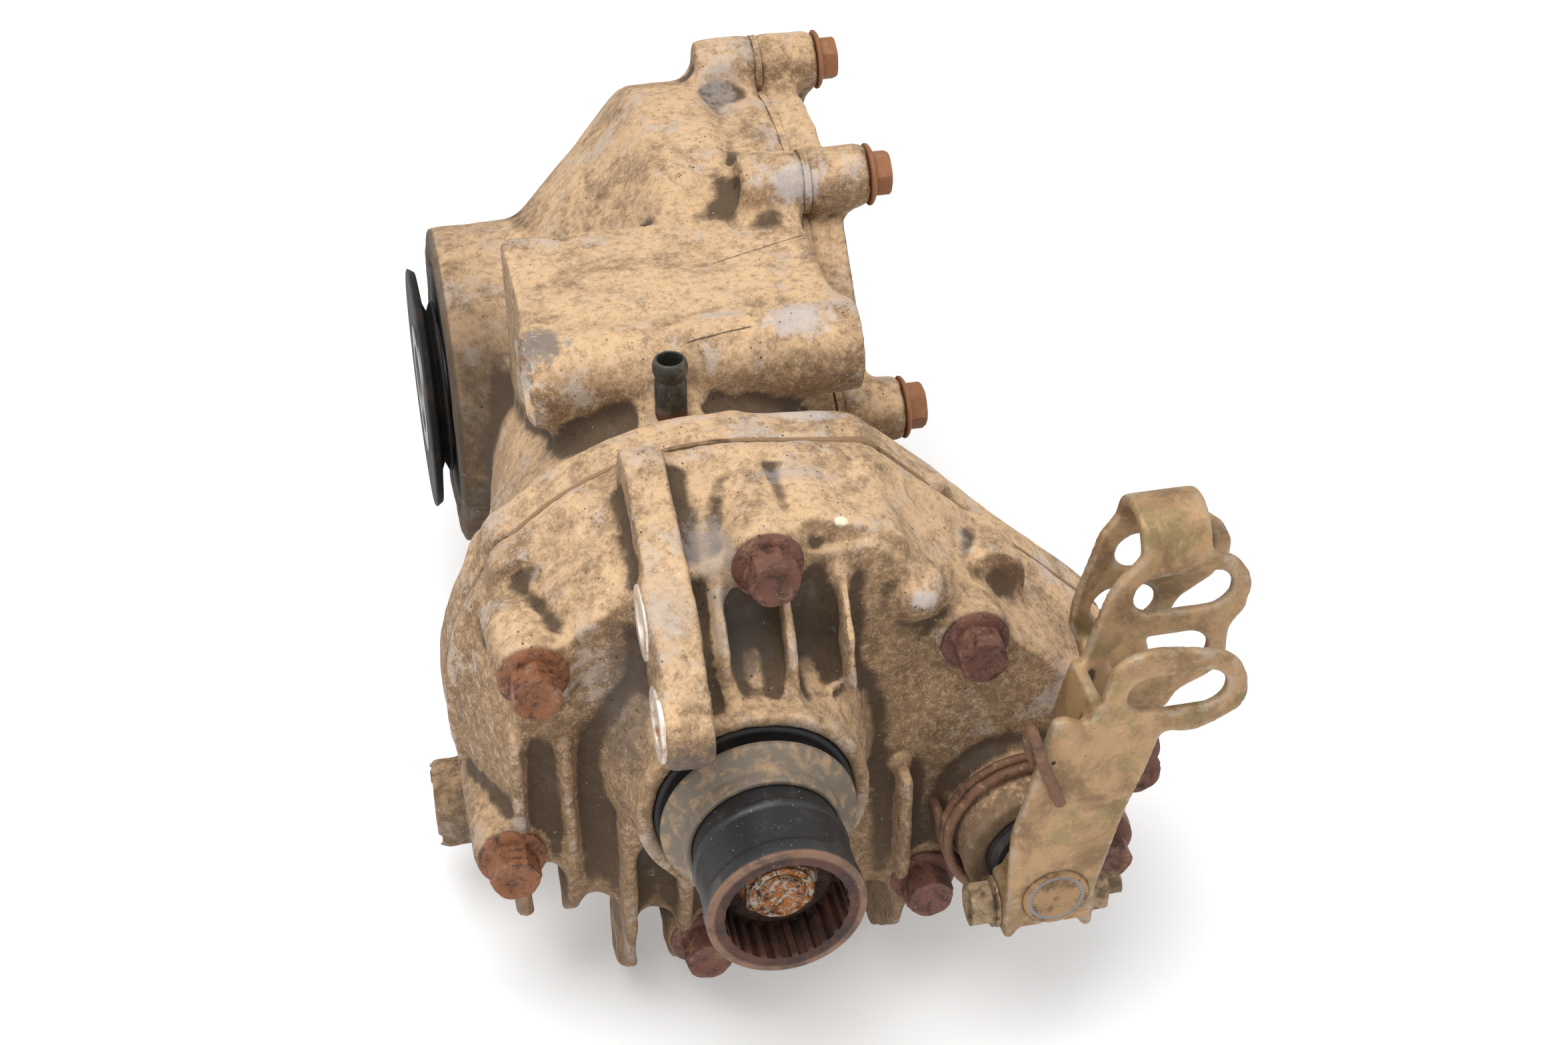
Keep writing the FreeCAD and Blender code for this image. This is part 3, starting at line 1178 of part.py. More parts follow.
node("pinion_shaft", pinion_shaft())
node("ring_gear", ring_gear())
node("axle_hub", axle_hub())
node("ring_gear_bolts", group([
    fuse([bar("X", place, dim.bolt_shank_radius, ring_front_x - 0.5, hub_flange_end_x),
          hexagon("X", place, 6.9, ring_front_x - 5.5, ring_front_x)])
    for place in ring_bolt_seats()]))
seat_y = dim.pinion_bearing_y + dim.pinion_bearing_width
node("pinion_shim", tube("Y", INPUT, dim.pinion_bearing_outer, dim.pinion_bearing_outer - 4.5,
                         dim.pinion_bearing_y - 1, dim.pinion_bearing_y))
node("pinion_bearing_ring_nut", tube("Y", INPUT, dim.pinion_bearing_outer,
                                     dim.pinion_bearing_outer - 6, seat_y, seat_y + 3.5))
node("pinion_oil_seal", tube("Y", INPUT, dim.pinion_bearing_outer - 5 - dim.fit_gap,
                             dim.shaft_radius + dim.fit_gap, -116, -109))

# Seals of the axle hub


def dust_seal(rim, root_x, end_x):
    """Flared rubber disc with a grooved neck that runs from ROOT_X out to END_X."""
    inner = dim.axle_journal_radius + dim.fit_gap
    neck = inner + 7
    span = end_x - root_x
    corners = [
        (root_x, inner), (root_x, neck), (root_x + span * 0.16, neck),
        (root_x + span * 0.33, neck - 3), (root_x + span * 0.5, neck),
        (end_x - span * 0.37, rim - 1.4), (end_x - span * 0.07, rim),
        (end_x, rim - 1), (end_x - span * 0.15, inner + 3), (end_x - span * 0.15, inner),
    ]
    return turned("X", corners if span.value < 0 else corners[::-1])


node("left_axle_seal", tube("X", AXLE, dim.axle_bearing_outer - 2,
                            dim.axle_journal_radius + dim.fit_gap, dim.neck_end_x + 0.4,
                            dim.left_bearing_x - 1))
node("right_axle_seal", tube("X", AXLE, dim.axle_bearing_outer - 4,
                             dim.axle_journal_radius + dim.fit_gap, right_bearing_end_x + 1,
                             dim.cover_hub_end_x - 0.4))
node("left_dust_seal", dust_seal(dim.left_seal_radius, dim.neck_end_x - 0.3, dim.hub_left_x))
node("right_dust_seal", dust_seal(dim.right_seal_radius, dim.cover_hub_end_x + 0.3,
                                  dim.hub_right_x))

# Brake: hub, discs, plates, pressure plate, cam ring and balls

hub_front_y = dim.front_bearing_y + dim.front_bearing_width + 0.5
plate_back_y = dim.plate_front_y + dim.plate_thickness
pack_front_y = plate_back_y + dim.brake_stroke + dim.disc_gap
drum_front_y = pack_front_y + dim.free_gap
spline_reach = dim.drum_radius + 3


def spline_keys(reach, width, start, end):
    """Twelve straight keys from inside the drum wall out to REACH."""
    keys = []
    for index in range(12):
        angle = size(30 * index)
        corners = strip((cosine(angle), sine(angle)), dim.drum_radius - 2, reach, width)
        keys.append(slab("Y", draw_polygon, corners, start, end))
    return keys


def brake_hub():
    """Drum on the pinion shaft that drives the friction discs."""
    bore = dim.shaft_radius + dim.fit_gap
    back_y = case_front_y - 0.8
    drum = turned("Y", [
        (hub_front_y, bore), (hub_front_y, bore + 4.5), (-167, bore + 4.5),
        (-167, dim.drum_radius - 6), (drum_front_y, dim.drum_radius - 6),
        (drum_front_y, dim.drum_radius), (back_y, dim.drum_radius),
        (back_y, dim.drum_radius - 6), (-161, dim.drum_radius - 6), (-161, bore + 4.5),
        (back_y, bore + 4.5), (back_y, bore)])
    return fuse([drum] + spline_keys(spline_reach, dim.hub_key_width, drum_front_y, back_y))


def friction_disc(start):
    """One friction disc with notches for the drum's keys."""
    ring = tube("Y", INPUT, dim.chamber_radius - 2, dim.drum_radius + dim.free_gap, start,
                start + dim.disc_thickness)
    notch_width = dim.hub_key_width + 2 * dim.free_gap
    return cut(ring, spline_keys(spline_reach + dim.free_gap, notch_width, start - 1,
                                 start + dim.disc_thickness + 1))


def tabbed_plate(start, end, inner):
    """A ring with three tabs that sit in the grooves of the brake cover."""
    solids = [bar("Y", INPUT, dim.chamber_radius - dim.free_gap, start, end)]
    for direction in tab_directions():
        solids.append(tab(direction, dim.chamber_radius + dim.tab_reach, dim.tab_width,
                          start, end))
    return cut(fuse(solids), [bar("Y", INPUT, inner, start - 1, end + 1)])


disc_pitch = dim.disc_thickness + dim.steel_thickness + 2 * dim.disc_gap
DISCS = int(dim.disc_count.value)
node("brake_hub", brake_hub())
node("friction_discs", group([
    friction_disc(pack_front_y + disc_pitch * index) for index in range(DISCS)]))
steel_first_y = pack_front_y + dim.disc_thickness + dim.disc_gap
node("steel_plates", group([
    tabbed_plate(steel_first_y + disc_pitch * index,
                 steel_first_y + disc_pitch * index + dim.steel_thickness, spline_reach + 1.5)
    for index in range(DISCS - 1)]))
node("brake_hub_circlip", cut(
    tube("Y", INPUT, dim.shaft_radius + 3.2, dim.shaft_radius + dim.fit_gap,
         case_front_y - 0.7, case_front_y + 0.6),
    [block((-3, case_front_y - 2, 5), (3, case_front_y + 2, 20))]))

# Crank and cam ring: at rest the crank stands half its swing before the line of centres.

cam_distance = hypotenuse(dim.cam_x, dim.cam_z)
toward_x = dim.cam_x / cam_distance
toward_z = dim.cam_z / cam_distance
half_swing = dim.lever_swing / 2
pin_along = cam_distance - dim.crank_radius * cosine(half_swing)
pin_aside = dim.crank_radius * sine(half_swing)
PIN = (pin_along * toward_x - pin_aside * toward_z, pin_along * toward_z + pin_aside * toward_x)
pin_distance = hypotenuse(PIN[0], PIN[1])
FORK = (PIN[0] / pin_distance, PIN[1] / pin_distance)


def ball_places(turn):
    """Centres (x, z) of the three cam balls, moved round by TURN degrees."""
    places = []
    for index in range(3):
        angle = 115 + 120 * index + turn
        places.append((dim.ramp_radius * cosine(angle), dim.ramp_radius * sine(angle)))
    return places


ball_y = (dim.cam_ring_back_y + dim.plate_front_y) / 2


def cam_ring():
    """Ring that the crank turns, with seats for the balls."""
    front = dim.cam_ring_front_y
    back = dim.cam_ring_back_y
    slot_half = dim.crank_pin_radius + dim.free_gap
    solids = [
        bar("Y", INPUT, dim.cam_ring_radius, front, back),
        slab("Y", draw_polygon, strip(FORK, dim.cam_ring_radius - 5, 66, 2 * slot_half + 9),
             front, back),
    ]
    holes = [
        bar("Y", INPUT, dim.boss_radius - 0.5 + dim.fit_gap, front - 1, back + 1),
        slab("Y", draw_polygon, strip(FORK, 52, 70, 2 * slot_half), front - 1, back + 1),
    ]
    for centre in ball_places(0):
        holes.append(ball((centre[0], ball_y, centre[1]), dim.cam_ball_radius + dim.fit_gap))
    return cut(fuse(solids), holes)


def pressure_plate():
    """Plate that the balls push against the discs; its tracks are as long as the cam's turn."""
    plate = tabbed_plate(dim.plate_front_y, plate_back_y, dim.boss_radius + 0.5)
    track_turn = -0.45 * dim.lever_swing
    depth = dim.cam_ball_radius - (dim.plate_front_y - ball_y) + dim.free_gap
    tracks = []
    for first, last in zip(ball_places(0), ball_places(track_turn)):
        wide = dim.cam_ball_radius + dim.free_gap
        tracks.append(slab("Y", draw_belt, [(first[0], first[1], wide),
                                            (last[0], last[1], wide)],
                           dim.plate_front_y - 1, dim.plate_front_y + depth))
    return cut(plate, tracks)


def brake_cam_shaft():
    """Serrated shaft with the crank and its pin on the inner end."""
    crank_front_y = dim.cam_ring_back_y + dim.free_gap
    crank_back_y = crank_front_y + 3.4
    pin_front_y = dim.cam_ring_front_y + 0.2
    radius = dim.cam_shaft_radius
    solids = [
        bar("Y", CAM, radius, dim.cam_shaft_front_y, crank_back_y),
        bar("Y", CAM, dim.cam_pivot_radius, crank_back_y - 1, case_front_y + 7.5),
        slab("Y", draw_belt, [(PIN[0], PIN[1], dim.crank_pin_radius + 2),
                              (dim.cam_x, dim.cam_z, radius + 3)],
             crank_front_y, crank_back_y),
        bar("Y", PIN, dim.crank_pin_radius, pin_front_y, crank_back_y - 1),
    ]
    punch = cone("Y", CAM, 1.2, 0.2, dim.cam_shaft_front_y - 0.01, dim.cam_shaft_front_y + 1)
    notch = bar("X", CLAMP, dim.clamp_bolt_radius + dim.thread_gap, dim.clamp_left_x,
                dim.clamp_right_x)
    return cut(fuse(solids), [punch, notch])


node("cam_ring", cam_ring())
node("cam_balls", group([
    ball((centre[0], ball_y, centre[1]), dim.cam_ball_radius) for centre in ball_places(0)]))
node("pressure_plate", pressure_plate())
node("brake_cam_shaft", brake_cam_shaft())
node("cam_shaft_seal", turned("Y", [
    (dim.cam_boss_front_y - 2, dim.cam_shaft_radius + dim.free_gap),
    (dim.cam_boss_front_y - 2.6, dim.cam_shaft_radius + 3),
    (dim.cam_boss_front_y - 1, cam_seal_radius - 0.5),
    (dim.cam_boss_front_y - 1, cam_seal_radius),
    (dim.cam_boss_front_y + cam_seal_depth, cam_seal_radius),
    (dim.cam_boss_front_y + cam_seal_depth, dim.cam_shaft_radius + dim.fit_gap),
    (dim.cam_boss_front_y + 1, dim.cam_shaft_radius + dim.fit_gap)], CAM))

# Brake lever


def slot(centre_x, centre_z, start, end):
    """A cable slot that runs along X."""
    ends = [(centre_x - dim.slot_half_travel, centre_z, dim.slot_radius),
            (centre_x + dim.slot_half_travel, centre_z, dim.slot_radius)]
    return slab("Y", draw_belt, ends, start, end)


def brake_lever():
    """Pressed lever: arm and clamp on the shaft, and three slotted plates for the cable end."""
    sheet_t = dim.sheet_thickness
    front_y = dim.lever_back_y - sheet_t
    middle_y = dim.middle_plate_y
    middle_back_y = middle_y + sheet_t
    rear_y = dim.rear_plate_y
    rear_back_y = rear_y + sheet_t
    arm = [
        (dim.clamp_left_x, -43), (dim.clamp_right_x, -43), (88, -32.5), (93.8, -6.4),
        (98.1, 6.9), (101.1, 18.5), (103, 24), (82.2, 24.5), (76, 28), (72.5, 27.3),
        (70.2, 17.5), (66.6, 0.8), (64, -9.4)]
    front_plate = [
        (-8.9, -11.2), (4.5, -13.7), (7.1, -13.2), (12.1, -11.1), (17.1, -8.2), (19.1, -4.2),
        (18.6, 1.3), (16.3, 6.6), (12.8, 9.9), (8.3, 11.4), (1.7, 12.9), (-4.3, 13.9),
        (-9.4, 13.8), (-14.4, 12), (-17.5, 8.9), (-19.2, 1.2), (-20.3, -4.6), (-22.2, -7.5),
        (-17.7, -9.4)]
    middle_plate = [
        (90, 8), (109.7, 11.1), (112.4, 16.3), (119.7, 20), (122.2, 21.8), (124.6, 27),
        (124.2, 32.5), (125.1, 36.8), (128.2, 40.6), (129.3, 47.9), (128.1, 52.3),
        (124.5, 57.2), (dim.bridge_right_x, 60.3), (dim.bridge_right_x, dim.bridge_z + 0.5),
        (dim.bridge_left_x, dim.bridge_z + 0.5), (93.3, 54.4), (91, 50.1), (88.6, 42.5),
        (86.9, 35.7), (84.5, 26.9), (81.6, 17.3), (80, 12)]
    rear_plate = [
        (91, 20.5), (100, 18), (115, 19.7), (116.2, 27.3), (118.1, 31.4), (126.6, 37.2),
        (131, 43.6), (130.9, 47.9), (128, 53.7), (124.1, 57),
        (dim.bridge_right_x, dim.bridge_z + 0.5), (dim.bridge_left_x, dim.bridge_z + 0.5),
        (94.7, 54.7), (93, 48.6), (90.2, 38.8), (88.8, 32.5), (88.6, 26)]
    bridge_y = (middle_y + rear_back_y) / 2
    bridge_radius = (rear_back_y - middle_y) / 2
    bridge = cut(
        tube("X", (bridge_y, dim.bridge_z), bridge_radius, bridge_radius - sheet_t,
             dim.bridge_left_x, dim.bridge_right_x),
        [block((dim.bridge_left_x - 1, middle_y - 1, dim.bridge_z - 2 * bridge_radius),
               (dim.bridge_right_x + 1, rear_back_y + 1, dim.bridge_z))])
    below_z = dim.clamp_bolt_z - 5.5
    ears = []
    for left in (dim.clamp_left_x, dim.clamp_right_x - sheet_t):
        ears.append(slab("Y", draw_polygon, [
            (left, below_z), (left + sheet_t, below_z), (left + sheet_t, dim.cam_z + 1),
            (left, dim.cam_z + 1)], front_y, dim.clamp_ear_back_y))
    solids = ears + [
        slab("Y", draw_polygon, arm, front_y, dim.lever_back_y),
        slab("Y", draw_polygon,
             [(dim.front_slot_x + x, dim.front_slot_z + z) for x, z in front_plate],
             front_y, dim.lever_back_y),
        slab("Y", draw_polygon, middle_plate, middle_y, middle_back_y),
        slab("Y", draw_polygon, rear_plate, rear_y, rear_back_y),
        slab("Y", draw_polygon, [(78.5, 12), (82, 12), (86.5, 30), (83, 30)], front_y,
             middle_back_y),
        bridge,
        slab("X", draw_polygon, [
            (rear_back_y, 24), (rear_y, 24), (middle_back_y - 0.1, 12),
            (middle_back_y - 0.1, 8.5), (middle_back_y + 3, 8.5), (rear_back_y, 20)],
            91, 109),
        bar("Y", CAM, dim.clamp_right_x - dim.cam_x, front_y + 1, dim.clamp_ear_back_y),
    ]
    holes = [
        bar("Y", CAM, dim.cam_shaft_radius + dim.fit_gap, front_y - 1, dim.clamp_ear_back_y + 1),
        block((dim.cam_x - 2, front_y - 1, below_z - 4),
              (dim.cam_x + 2, dim.clamp_ear_back_y + 1, dim.cam_z)),
        slot(dim.front_slot_x, dim.front_slot_z, front_y - 1, dim.lever_back_y + 1),
        slot(dim.lower_slot_x, dim.lower_slot_z, middle_y - 1, middle_back_y + 1),
        slot(dim.upper_slot_x, dim.upper_slot_z, middle_y - 1, middle_back_y + 1),
        slot(dim.rear_slot_x, dim.rear_slot_z, rear_y - 1, rear_back_y + 1),
        slab("Y", draw_belt, [(100, 31.5, 6), (105.8, 31.7, 5.6)], rear_y - 1, rear_back_y + 1),
        bar("X", CLAMP, dim.clamp_bolt_radius + dim.thread_gap, dim.clamp_left_x - 1,
            dim.clamp_right_x + 1),
    ]
    return cut(fuse(solids), holes)


node("brake_lever", brake_lever())
clamp_flange = dim.clamp_bolt_radius + 4
clamp_hex = dim.clamp_bolt_radius + 3.6
node("lever_clamp_bolt", fuse([
    bar("X", CLAMP, dim.clamp_bolt_radius, dim.clamp_left_x - 1, dim.clamp_right_x + 7),
    bar("X", CLAMP, clamp_flange, dim.clamp_left_x - 1.5, dim.clamp_left_x),
    hexagon("X", CLAMP, clamp_hex, dim.clamp_left_x - 7.5, dim.clamp_left_x - 1.5)]))
node("lever_clamp_nut", cut(
    fuse([bar("X", CLAMP, clamp_flange, dim.clamp_right_x, dim.clamp_right_x + 1.2),
          hexagon("X", CLAMP, clamp_hex, dim.clamp_right_x + 1.2, dim.clamp_right_x + 5.5)]),
    [bar("X", CLAMP, dim.clamp_bolt_radius + dim.fit_gap, dim.clamp_right_x - 1,
         dim.clamp_right_x + 7)]))

# Return spring


def rod(start, end, radius):
    """A straight round wire between two points."""
    run = [size(far) - near for near, far in zip(start, end)]
    length = root(run[0] * run[0] + run[1] * run[1] + run[2] * run[2])
    wire = doc.addObject("Part::Cylinder", "wire")
    bind(wire, "Radius", radius)
    bind(wire, "Height", length)
    near = vector_text(start)
    axis = vector_text((-run[1], run[0], size(0)))
    wire.setExpression("Placement", f"placement({near}; {axis}; acos({(run[2] / length).text}))")
    return wire


def bent_wire(path, radius):
    """A round wire along straight runs, rounded at each corner."""
    corners = [ball(point, radius) for point in path]
    return corners + [rod(start, end, radius) for start, end in zip(path, path[1:])]


def return_spring():
    """Torsion spring round the cam shaft boss: coil, hook over the lever and anchored end."""
    start = spring_point(dim.spring_hook_angle, dim.spring_front_y)
    end = spring_point(spring_anchor_angle, spring_back_y)
    turn = f"rotation(vector(0; 1; 0); {(-dim.spring_hook_angle).text})"
    coil = doc.addObject("Part::Helix", "coil")
    bind(coil, "Radius", dim.spring_radius)
    bind(coil, "Pitch", dim.spring_pitch)
    bind(coil, "Height", dim.spring_pitch * dim.spring_turns)
    front = vector_text((dim.cam_x, dim.spring_front_y, dim.cam_z))
    coil.setExpression(
        "Placement", f"placement({front}; {turn} * rotation(vector(1; 0; 0); -90))")
    section = doc.addObject("Part::Circle", "section")
    bind(section, "Radius", dim.spring_wire)
    section.setExpression("Placement", f"placement({vector_text(start)}; {turn})")
    winding = doc.addObject("Part::Sweep", "winding")
    winding.Sections = [section]
    winding.Spine = (coil, ["Edge1"])
    winding.Solid = True
    winding.Frenet = True
    behind_y = dim.lever_back_y + dim.spring_wire + 1.5
    before_y = dim.lever_back_y - dim.sheet_thickness - dim.spring_wire - 0.5
    hook = [start, (74, behind_y + 2, 13), (68.6, behind_y, 23), (66.4, behind_y - 2.4, 26.6),
            (66.6, before_y + 2.2, 25.6), (68.6, before_y, 21), (74.8, before_y, 4)]
    anchor_x, anchor_z = spring_anchor
    anchor = [end, (anchor_x, spring_back_y, anchor_z),
              (anchor_x, dim.cover_front_y + 1.6, anchor_z)]
    wires = bent_wire(hook, dim.spring_wire) + bent_wire(anchor, dim.spring_wire)
    return fuse([winding] + wires)


node("return_spring", return_spring())

# Nothing is written unless every thing is sound.

doc.recompute()
for thing in doc.Objects:
    if "Invalid" in thing.State or "Error" in thing.State:
        raise RuntimeError(f"{thing.Label} ({thing.TypeId}) failed: {thing.State}")
for part in nodes:
    if part.Shape.isNull() or not part.Shape.isValid():
        raise RuntimeError(f"{part.Label} has no sound shape")
for part in nodes:
    part.Shape.exportStep(f"parts/{part.Label}.step")
    print(part.Label, len(part.Shape.Solids), round(part.Shape.Volume))
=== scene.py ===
import math

import bpy
import bmesh
import numpy as np
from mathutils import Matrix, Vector


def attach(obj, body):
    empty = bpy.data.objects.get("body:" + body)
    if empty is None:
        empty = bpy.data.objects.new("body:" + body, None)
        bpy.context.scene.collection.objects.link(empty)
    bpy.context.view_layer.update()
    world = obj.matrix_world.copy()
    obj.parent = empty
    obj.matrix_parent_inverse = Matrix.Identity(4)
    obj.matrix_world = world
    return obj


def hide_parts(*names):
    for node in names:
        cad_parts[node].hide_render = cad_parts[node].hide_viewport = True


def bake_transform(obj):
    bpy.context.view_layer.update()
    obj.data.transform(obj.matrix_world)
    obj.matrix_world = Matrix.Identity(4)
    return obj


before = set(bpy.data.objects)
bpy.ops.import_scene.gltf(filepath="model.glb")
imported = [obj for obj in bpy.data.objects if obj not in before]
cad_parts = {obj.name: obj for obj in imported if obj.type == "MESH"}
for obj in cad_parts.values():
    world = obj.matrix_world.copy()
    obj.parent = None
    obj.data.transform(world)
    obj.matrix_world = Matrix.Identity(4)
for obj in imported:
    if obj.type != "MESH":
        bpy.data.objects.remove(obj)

bl_info = {
    "name": "Rear final drive",
    "version": (1, 0, 0),
    "blender": (4, 5, 0),
    "location": "3D View > Sidebar > Final drive",
    "description": "Dresses the rear final gear case and its brake lever",
    "category": "Object",
}

MM = 0.001

# Places shared with the solids, in millimetres. A piece along Y stands at (x, z), one along X
# at (y, z).
CAM = (77.0, -33.0)
CAM_END = -227.0
COVER_BOLTS = [
    (8, 60.4), (-51.8, 34.6), (62.8, 26.4), (-61, -25.5),
    (51.5, -56), (-10.6, -66.6), (108.4, -21), (103, -52.5),
]
COVER_BOLT_SEAT = -190
RING_BOLT_RADIUS = 91
RING_BOLT_FIRST_ANGLE = 25.8
RING_BOLT_SEAT = 69.5
LUG_HOLES = [(-198, 53.5), (-217.5, 37)]
LUG_LEFT = -25.1
CLAMP = (-218.5, -40.5)
CLAMP_LEFT = 63.5
CLAMP_RIGHT = 88
MOUTH = -250
MOUTH_RADIUS = 20.0
COUPLING_NUT_SEAT = -237
VENT = (-4, -123)

# The photograph's view: the camera's place in metres and the way it looks.
CAMERA_PLACE = (-0.0911, -0.6638, 0.4311)
CAMERA_AIM = (0.1712, 0.7854, -0.5948)

SHARP_ANGLE = math.radians(38)


# Sizes and colours that a user would change


def colour_setting(name, words, value):
    return bpy.props.FloatVectorProperty(
        name=name, description=words, subtype="COLOR", size=3, min=0, max=1, default=value)


class CastingSettings(bpy.types.PropertyGroup):
    """Look of the cast housings."""

    dust: colour_setting("Dust", "Dried mud on the casting", (0.56, 0.445, 0.325))
    # The pale dust is also laid on top faces as painted light from above.
    pale_dust_and_top_light: colour_setting("Pale dust", "Lighter mud on top faces", (0.83, 0.69, 0.535))
    # This colour also paints shade into the hollows.
    grime_and_shade: colour_setting("Grime", "Oily dirt in the hollows", (0.24, 0.18, 0.12))
    bare: colour_setting("Bare metal", "Rubbed aluminium", (0.74, 0.69, 0.65))
    voxel: bpy.props.FloatProperty(
        name="Grain", description="Finest step of the front casting's surface",
        default=0.0013, min=0.0006, unit="LENGTH")
    fillet: bpy.props.FloatProperty(
        name="Fillet", description="Rounding where cast walls meet", default=0.0022,
        min=0, unit="LENGTH")
    sand: bpy.props.FloatProperty(
        name="Sand", description="Height of the cast surface's roughness", default=0.00022,
        min=0, unit="LENGTH")


class MetalSettings(bpy.types.PropertyGroup):
    """Look of the steel pieces."""

    rust: colour_setting("Rust", "Rust on bolts", (0.42, 0.27, 0.22))
    dark_rust: colour_setting("Dark rust", "Deep rust in hollows", (0.22, 0.13, 0.10))
    zinc: colour_setting("Zinc", "Yellow zinc plate of the lever", (0.68, 0.55, 0.40))
    black: colour_setting("Black", "Black finish of the coupling", (0.12, 0.12, 0.125))


class StageSettings(bpy.types.PropertyGroup):
    """Floor, lights and camera."""

    floor_level: bpy.props.FloatProperty(
        name="Floor", description="Height of the floor", default=-0.0957, unit="LENGTH")
    key_power: bpy.props.FloatProperty(
        name="Key light", description="Power of the large lamp overhead", default=12.0, min=0,
        unit="POWER")
    lens: bpy.props.FloatProperty(
        name="Lens", description="Focal length of the camera", default=56.63, min=1,
        unit="CAMERA")


# Surfaces worked out as whole arrays

AXES = {
    "X": (np.array([1.0, 0, 0]), np.array([0, 1.0, 0]), np.array([0, 0, 1.0])),
    "Y": (np.array([0, 1.0, 0]), np.array([1.0, 0, 0]), np.array([0, 0, 1.0])),
    "Z": (np.array([0, 0, 1.0]), np.array([1.0, 0, 0]), np.array([0, 1.0, 0])),
}


# All materials by their short names, filled by make_finishes.
FINISHES = {}


def dress(piece, finish):
    """Gives a piece one of the finishes."""
    piece.data.materials.clear()
    piece.data.materials.append(FINISHES[finish])


def add_piece(name, mesh, body, finish, replaces=()):
    """Links a mesh to the scene as a piece of the part, in one of the finishes."""
    mesh.polygons.foreach_set("use_smooth", np.ones(len(mesh.polygons), bool))
    mesh.set_sharp_from_angle(angle=SHARP_ANGLE)
    piece = bpy.data.objects.new(name, mesh)
    bpy.context.scene.collection.objects.link(piece)
    if body:
        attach(piece, body)
    if replaces:
        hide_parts(*replaces)
    dress(piece, finish)
    return piece


def outward(points, faces):
    """The four-cornered faces of a closed surface, turned so that they look out."""
    a, b, c, d = (points[faces[:, corner]] for corner in range(4))
    volume = np.einsum("ij,ij->i", a, np.cross(b, c)).sum()
    volume += np.einsum("ij,ij->i", a, np.cross(c, d)).sum()
    return faces[:, ::-1] if volume < 0 else faces


def joined(name, parts, body, finish, replaces=()):
    """One piece from several closed (points, faces) surfaces, in millimetres."""
    points, faces, count = [], [], 0
    for part_points, part_faces in parts:
        points.append(part_points)
        faces.append(outward(part_points, part_faces) + count)
        count += len(part_points)
    points = np.concatenate(points) * MM
    mesh = bpy.data.meshes.new(name)
    mesh.from_pydata(points.tolist(), [], np.concatenate(faces).tolist())
    solid = bmesh.new()
    solid.from_mesh(mesh)
    bmesh.ops.remove_doubles(solid, verts=solid.verts, dist=1e-7)
    bmesh.ops.dissolve_degenerate(solid, edges=solid.edges, dist=1e-8)
    solid.to_mesh(mesh)
    solid.free()
    return add_piece(name, mesh, body, finish, replaces)


def grid_faces(rows, columns, closed):
    """Quads between neighbouring points of a grid whose rows are rings; a CLOSED one also
    joins its last row to its first."""
    row = np.arange(rows if closed else rows - 1)
    i, j = np.meshgrid(row, np.arange(columns), indexing="ij")
    i, j = i.ravel(), j.ravel()
    down, right = (i + 1) % rows, (j + 1) % columns
    return np.stack([i * columns + j, i * columns + right,
                     down * columns + right, down * columns + j], axis=1)


def rounded(profile, size):
    """Corners of a closed polyline softened: each gives way to four points of the curve
    (1-t)^2 before + 2t(1-t) corner + t^2 after, with both ends at most SIZE from the corner."""
    profile = np.asarray(profile, float)
    before, after = np.roll(profile, 1, axis=0), np.roll(profile, -1, axis=0)
    back, ahead = before - profile, after - profile
    back_length = np.linalg.norm(back, axis=1, keepdims=True)
    ahead_length = np.linalg.norm(ahead, axis=1, keepdims=True)
    back = back / back_length * np.minimum(size, back_length * 0.45)
    ahead = ahead / ahead_length * np.minimum(size, ahead_length * 0.45)
    t = np.linspace(0, 1, 4)[None, :, None]
    near, far = (profile + back)[:, None], (profile + ahead)[:, None]
    curve = (1 - t) ** 2 * near + 2 * t * (1 - t) * profile[:, None] + t ** 2 * far
    return curve.reshape(-1, 2)


def turned(axis, centre, profile, steps=96, closed=True, shape=None):
    """Surface of a profile (along, radius) carried round an axis:
    point = centre + along * axis + radius * (cos(angle) u + sin(angle) v).
    SHAPE may change (along, radius) by angle."""
    along_axis, across, up = AXES[axis]
    profile = np.asarray(profile, float)
    angle = np.linspace(0, 2 * np.pi, steps, endpoint=False)
    along = np.repeat(profile[:, :1], steps, axis=1)
    radius = np.repeat(profile[:, 1:2], steps, axis=1)
    if shape is not None:
        along, radius = shape(along, radius, np.broadcast_to(angle, along.shape))
    centre_point = centre[0] * across + centre[1] * up
    points = (centre_point + along[..., None] * along_axis
              + (radius * np.cos(angle))[..., None] * across
              + (radius * np.sin(angle))[..., None] * up)
    return points.reshape(-1, 3), grid_faces(len(profile), steps, closed)


def from_seat(seat, way, profile):
    """A profile whose distances along the axis are counted from a seat, WAY 1 or -1."""
    return [(seat + way * along, radius) for along, radius in profile]


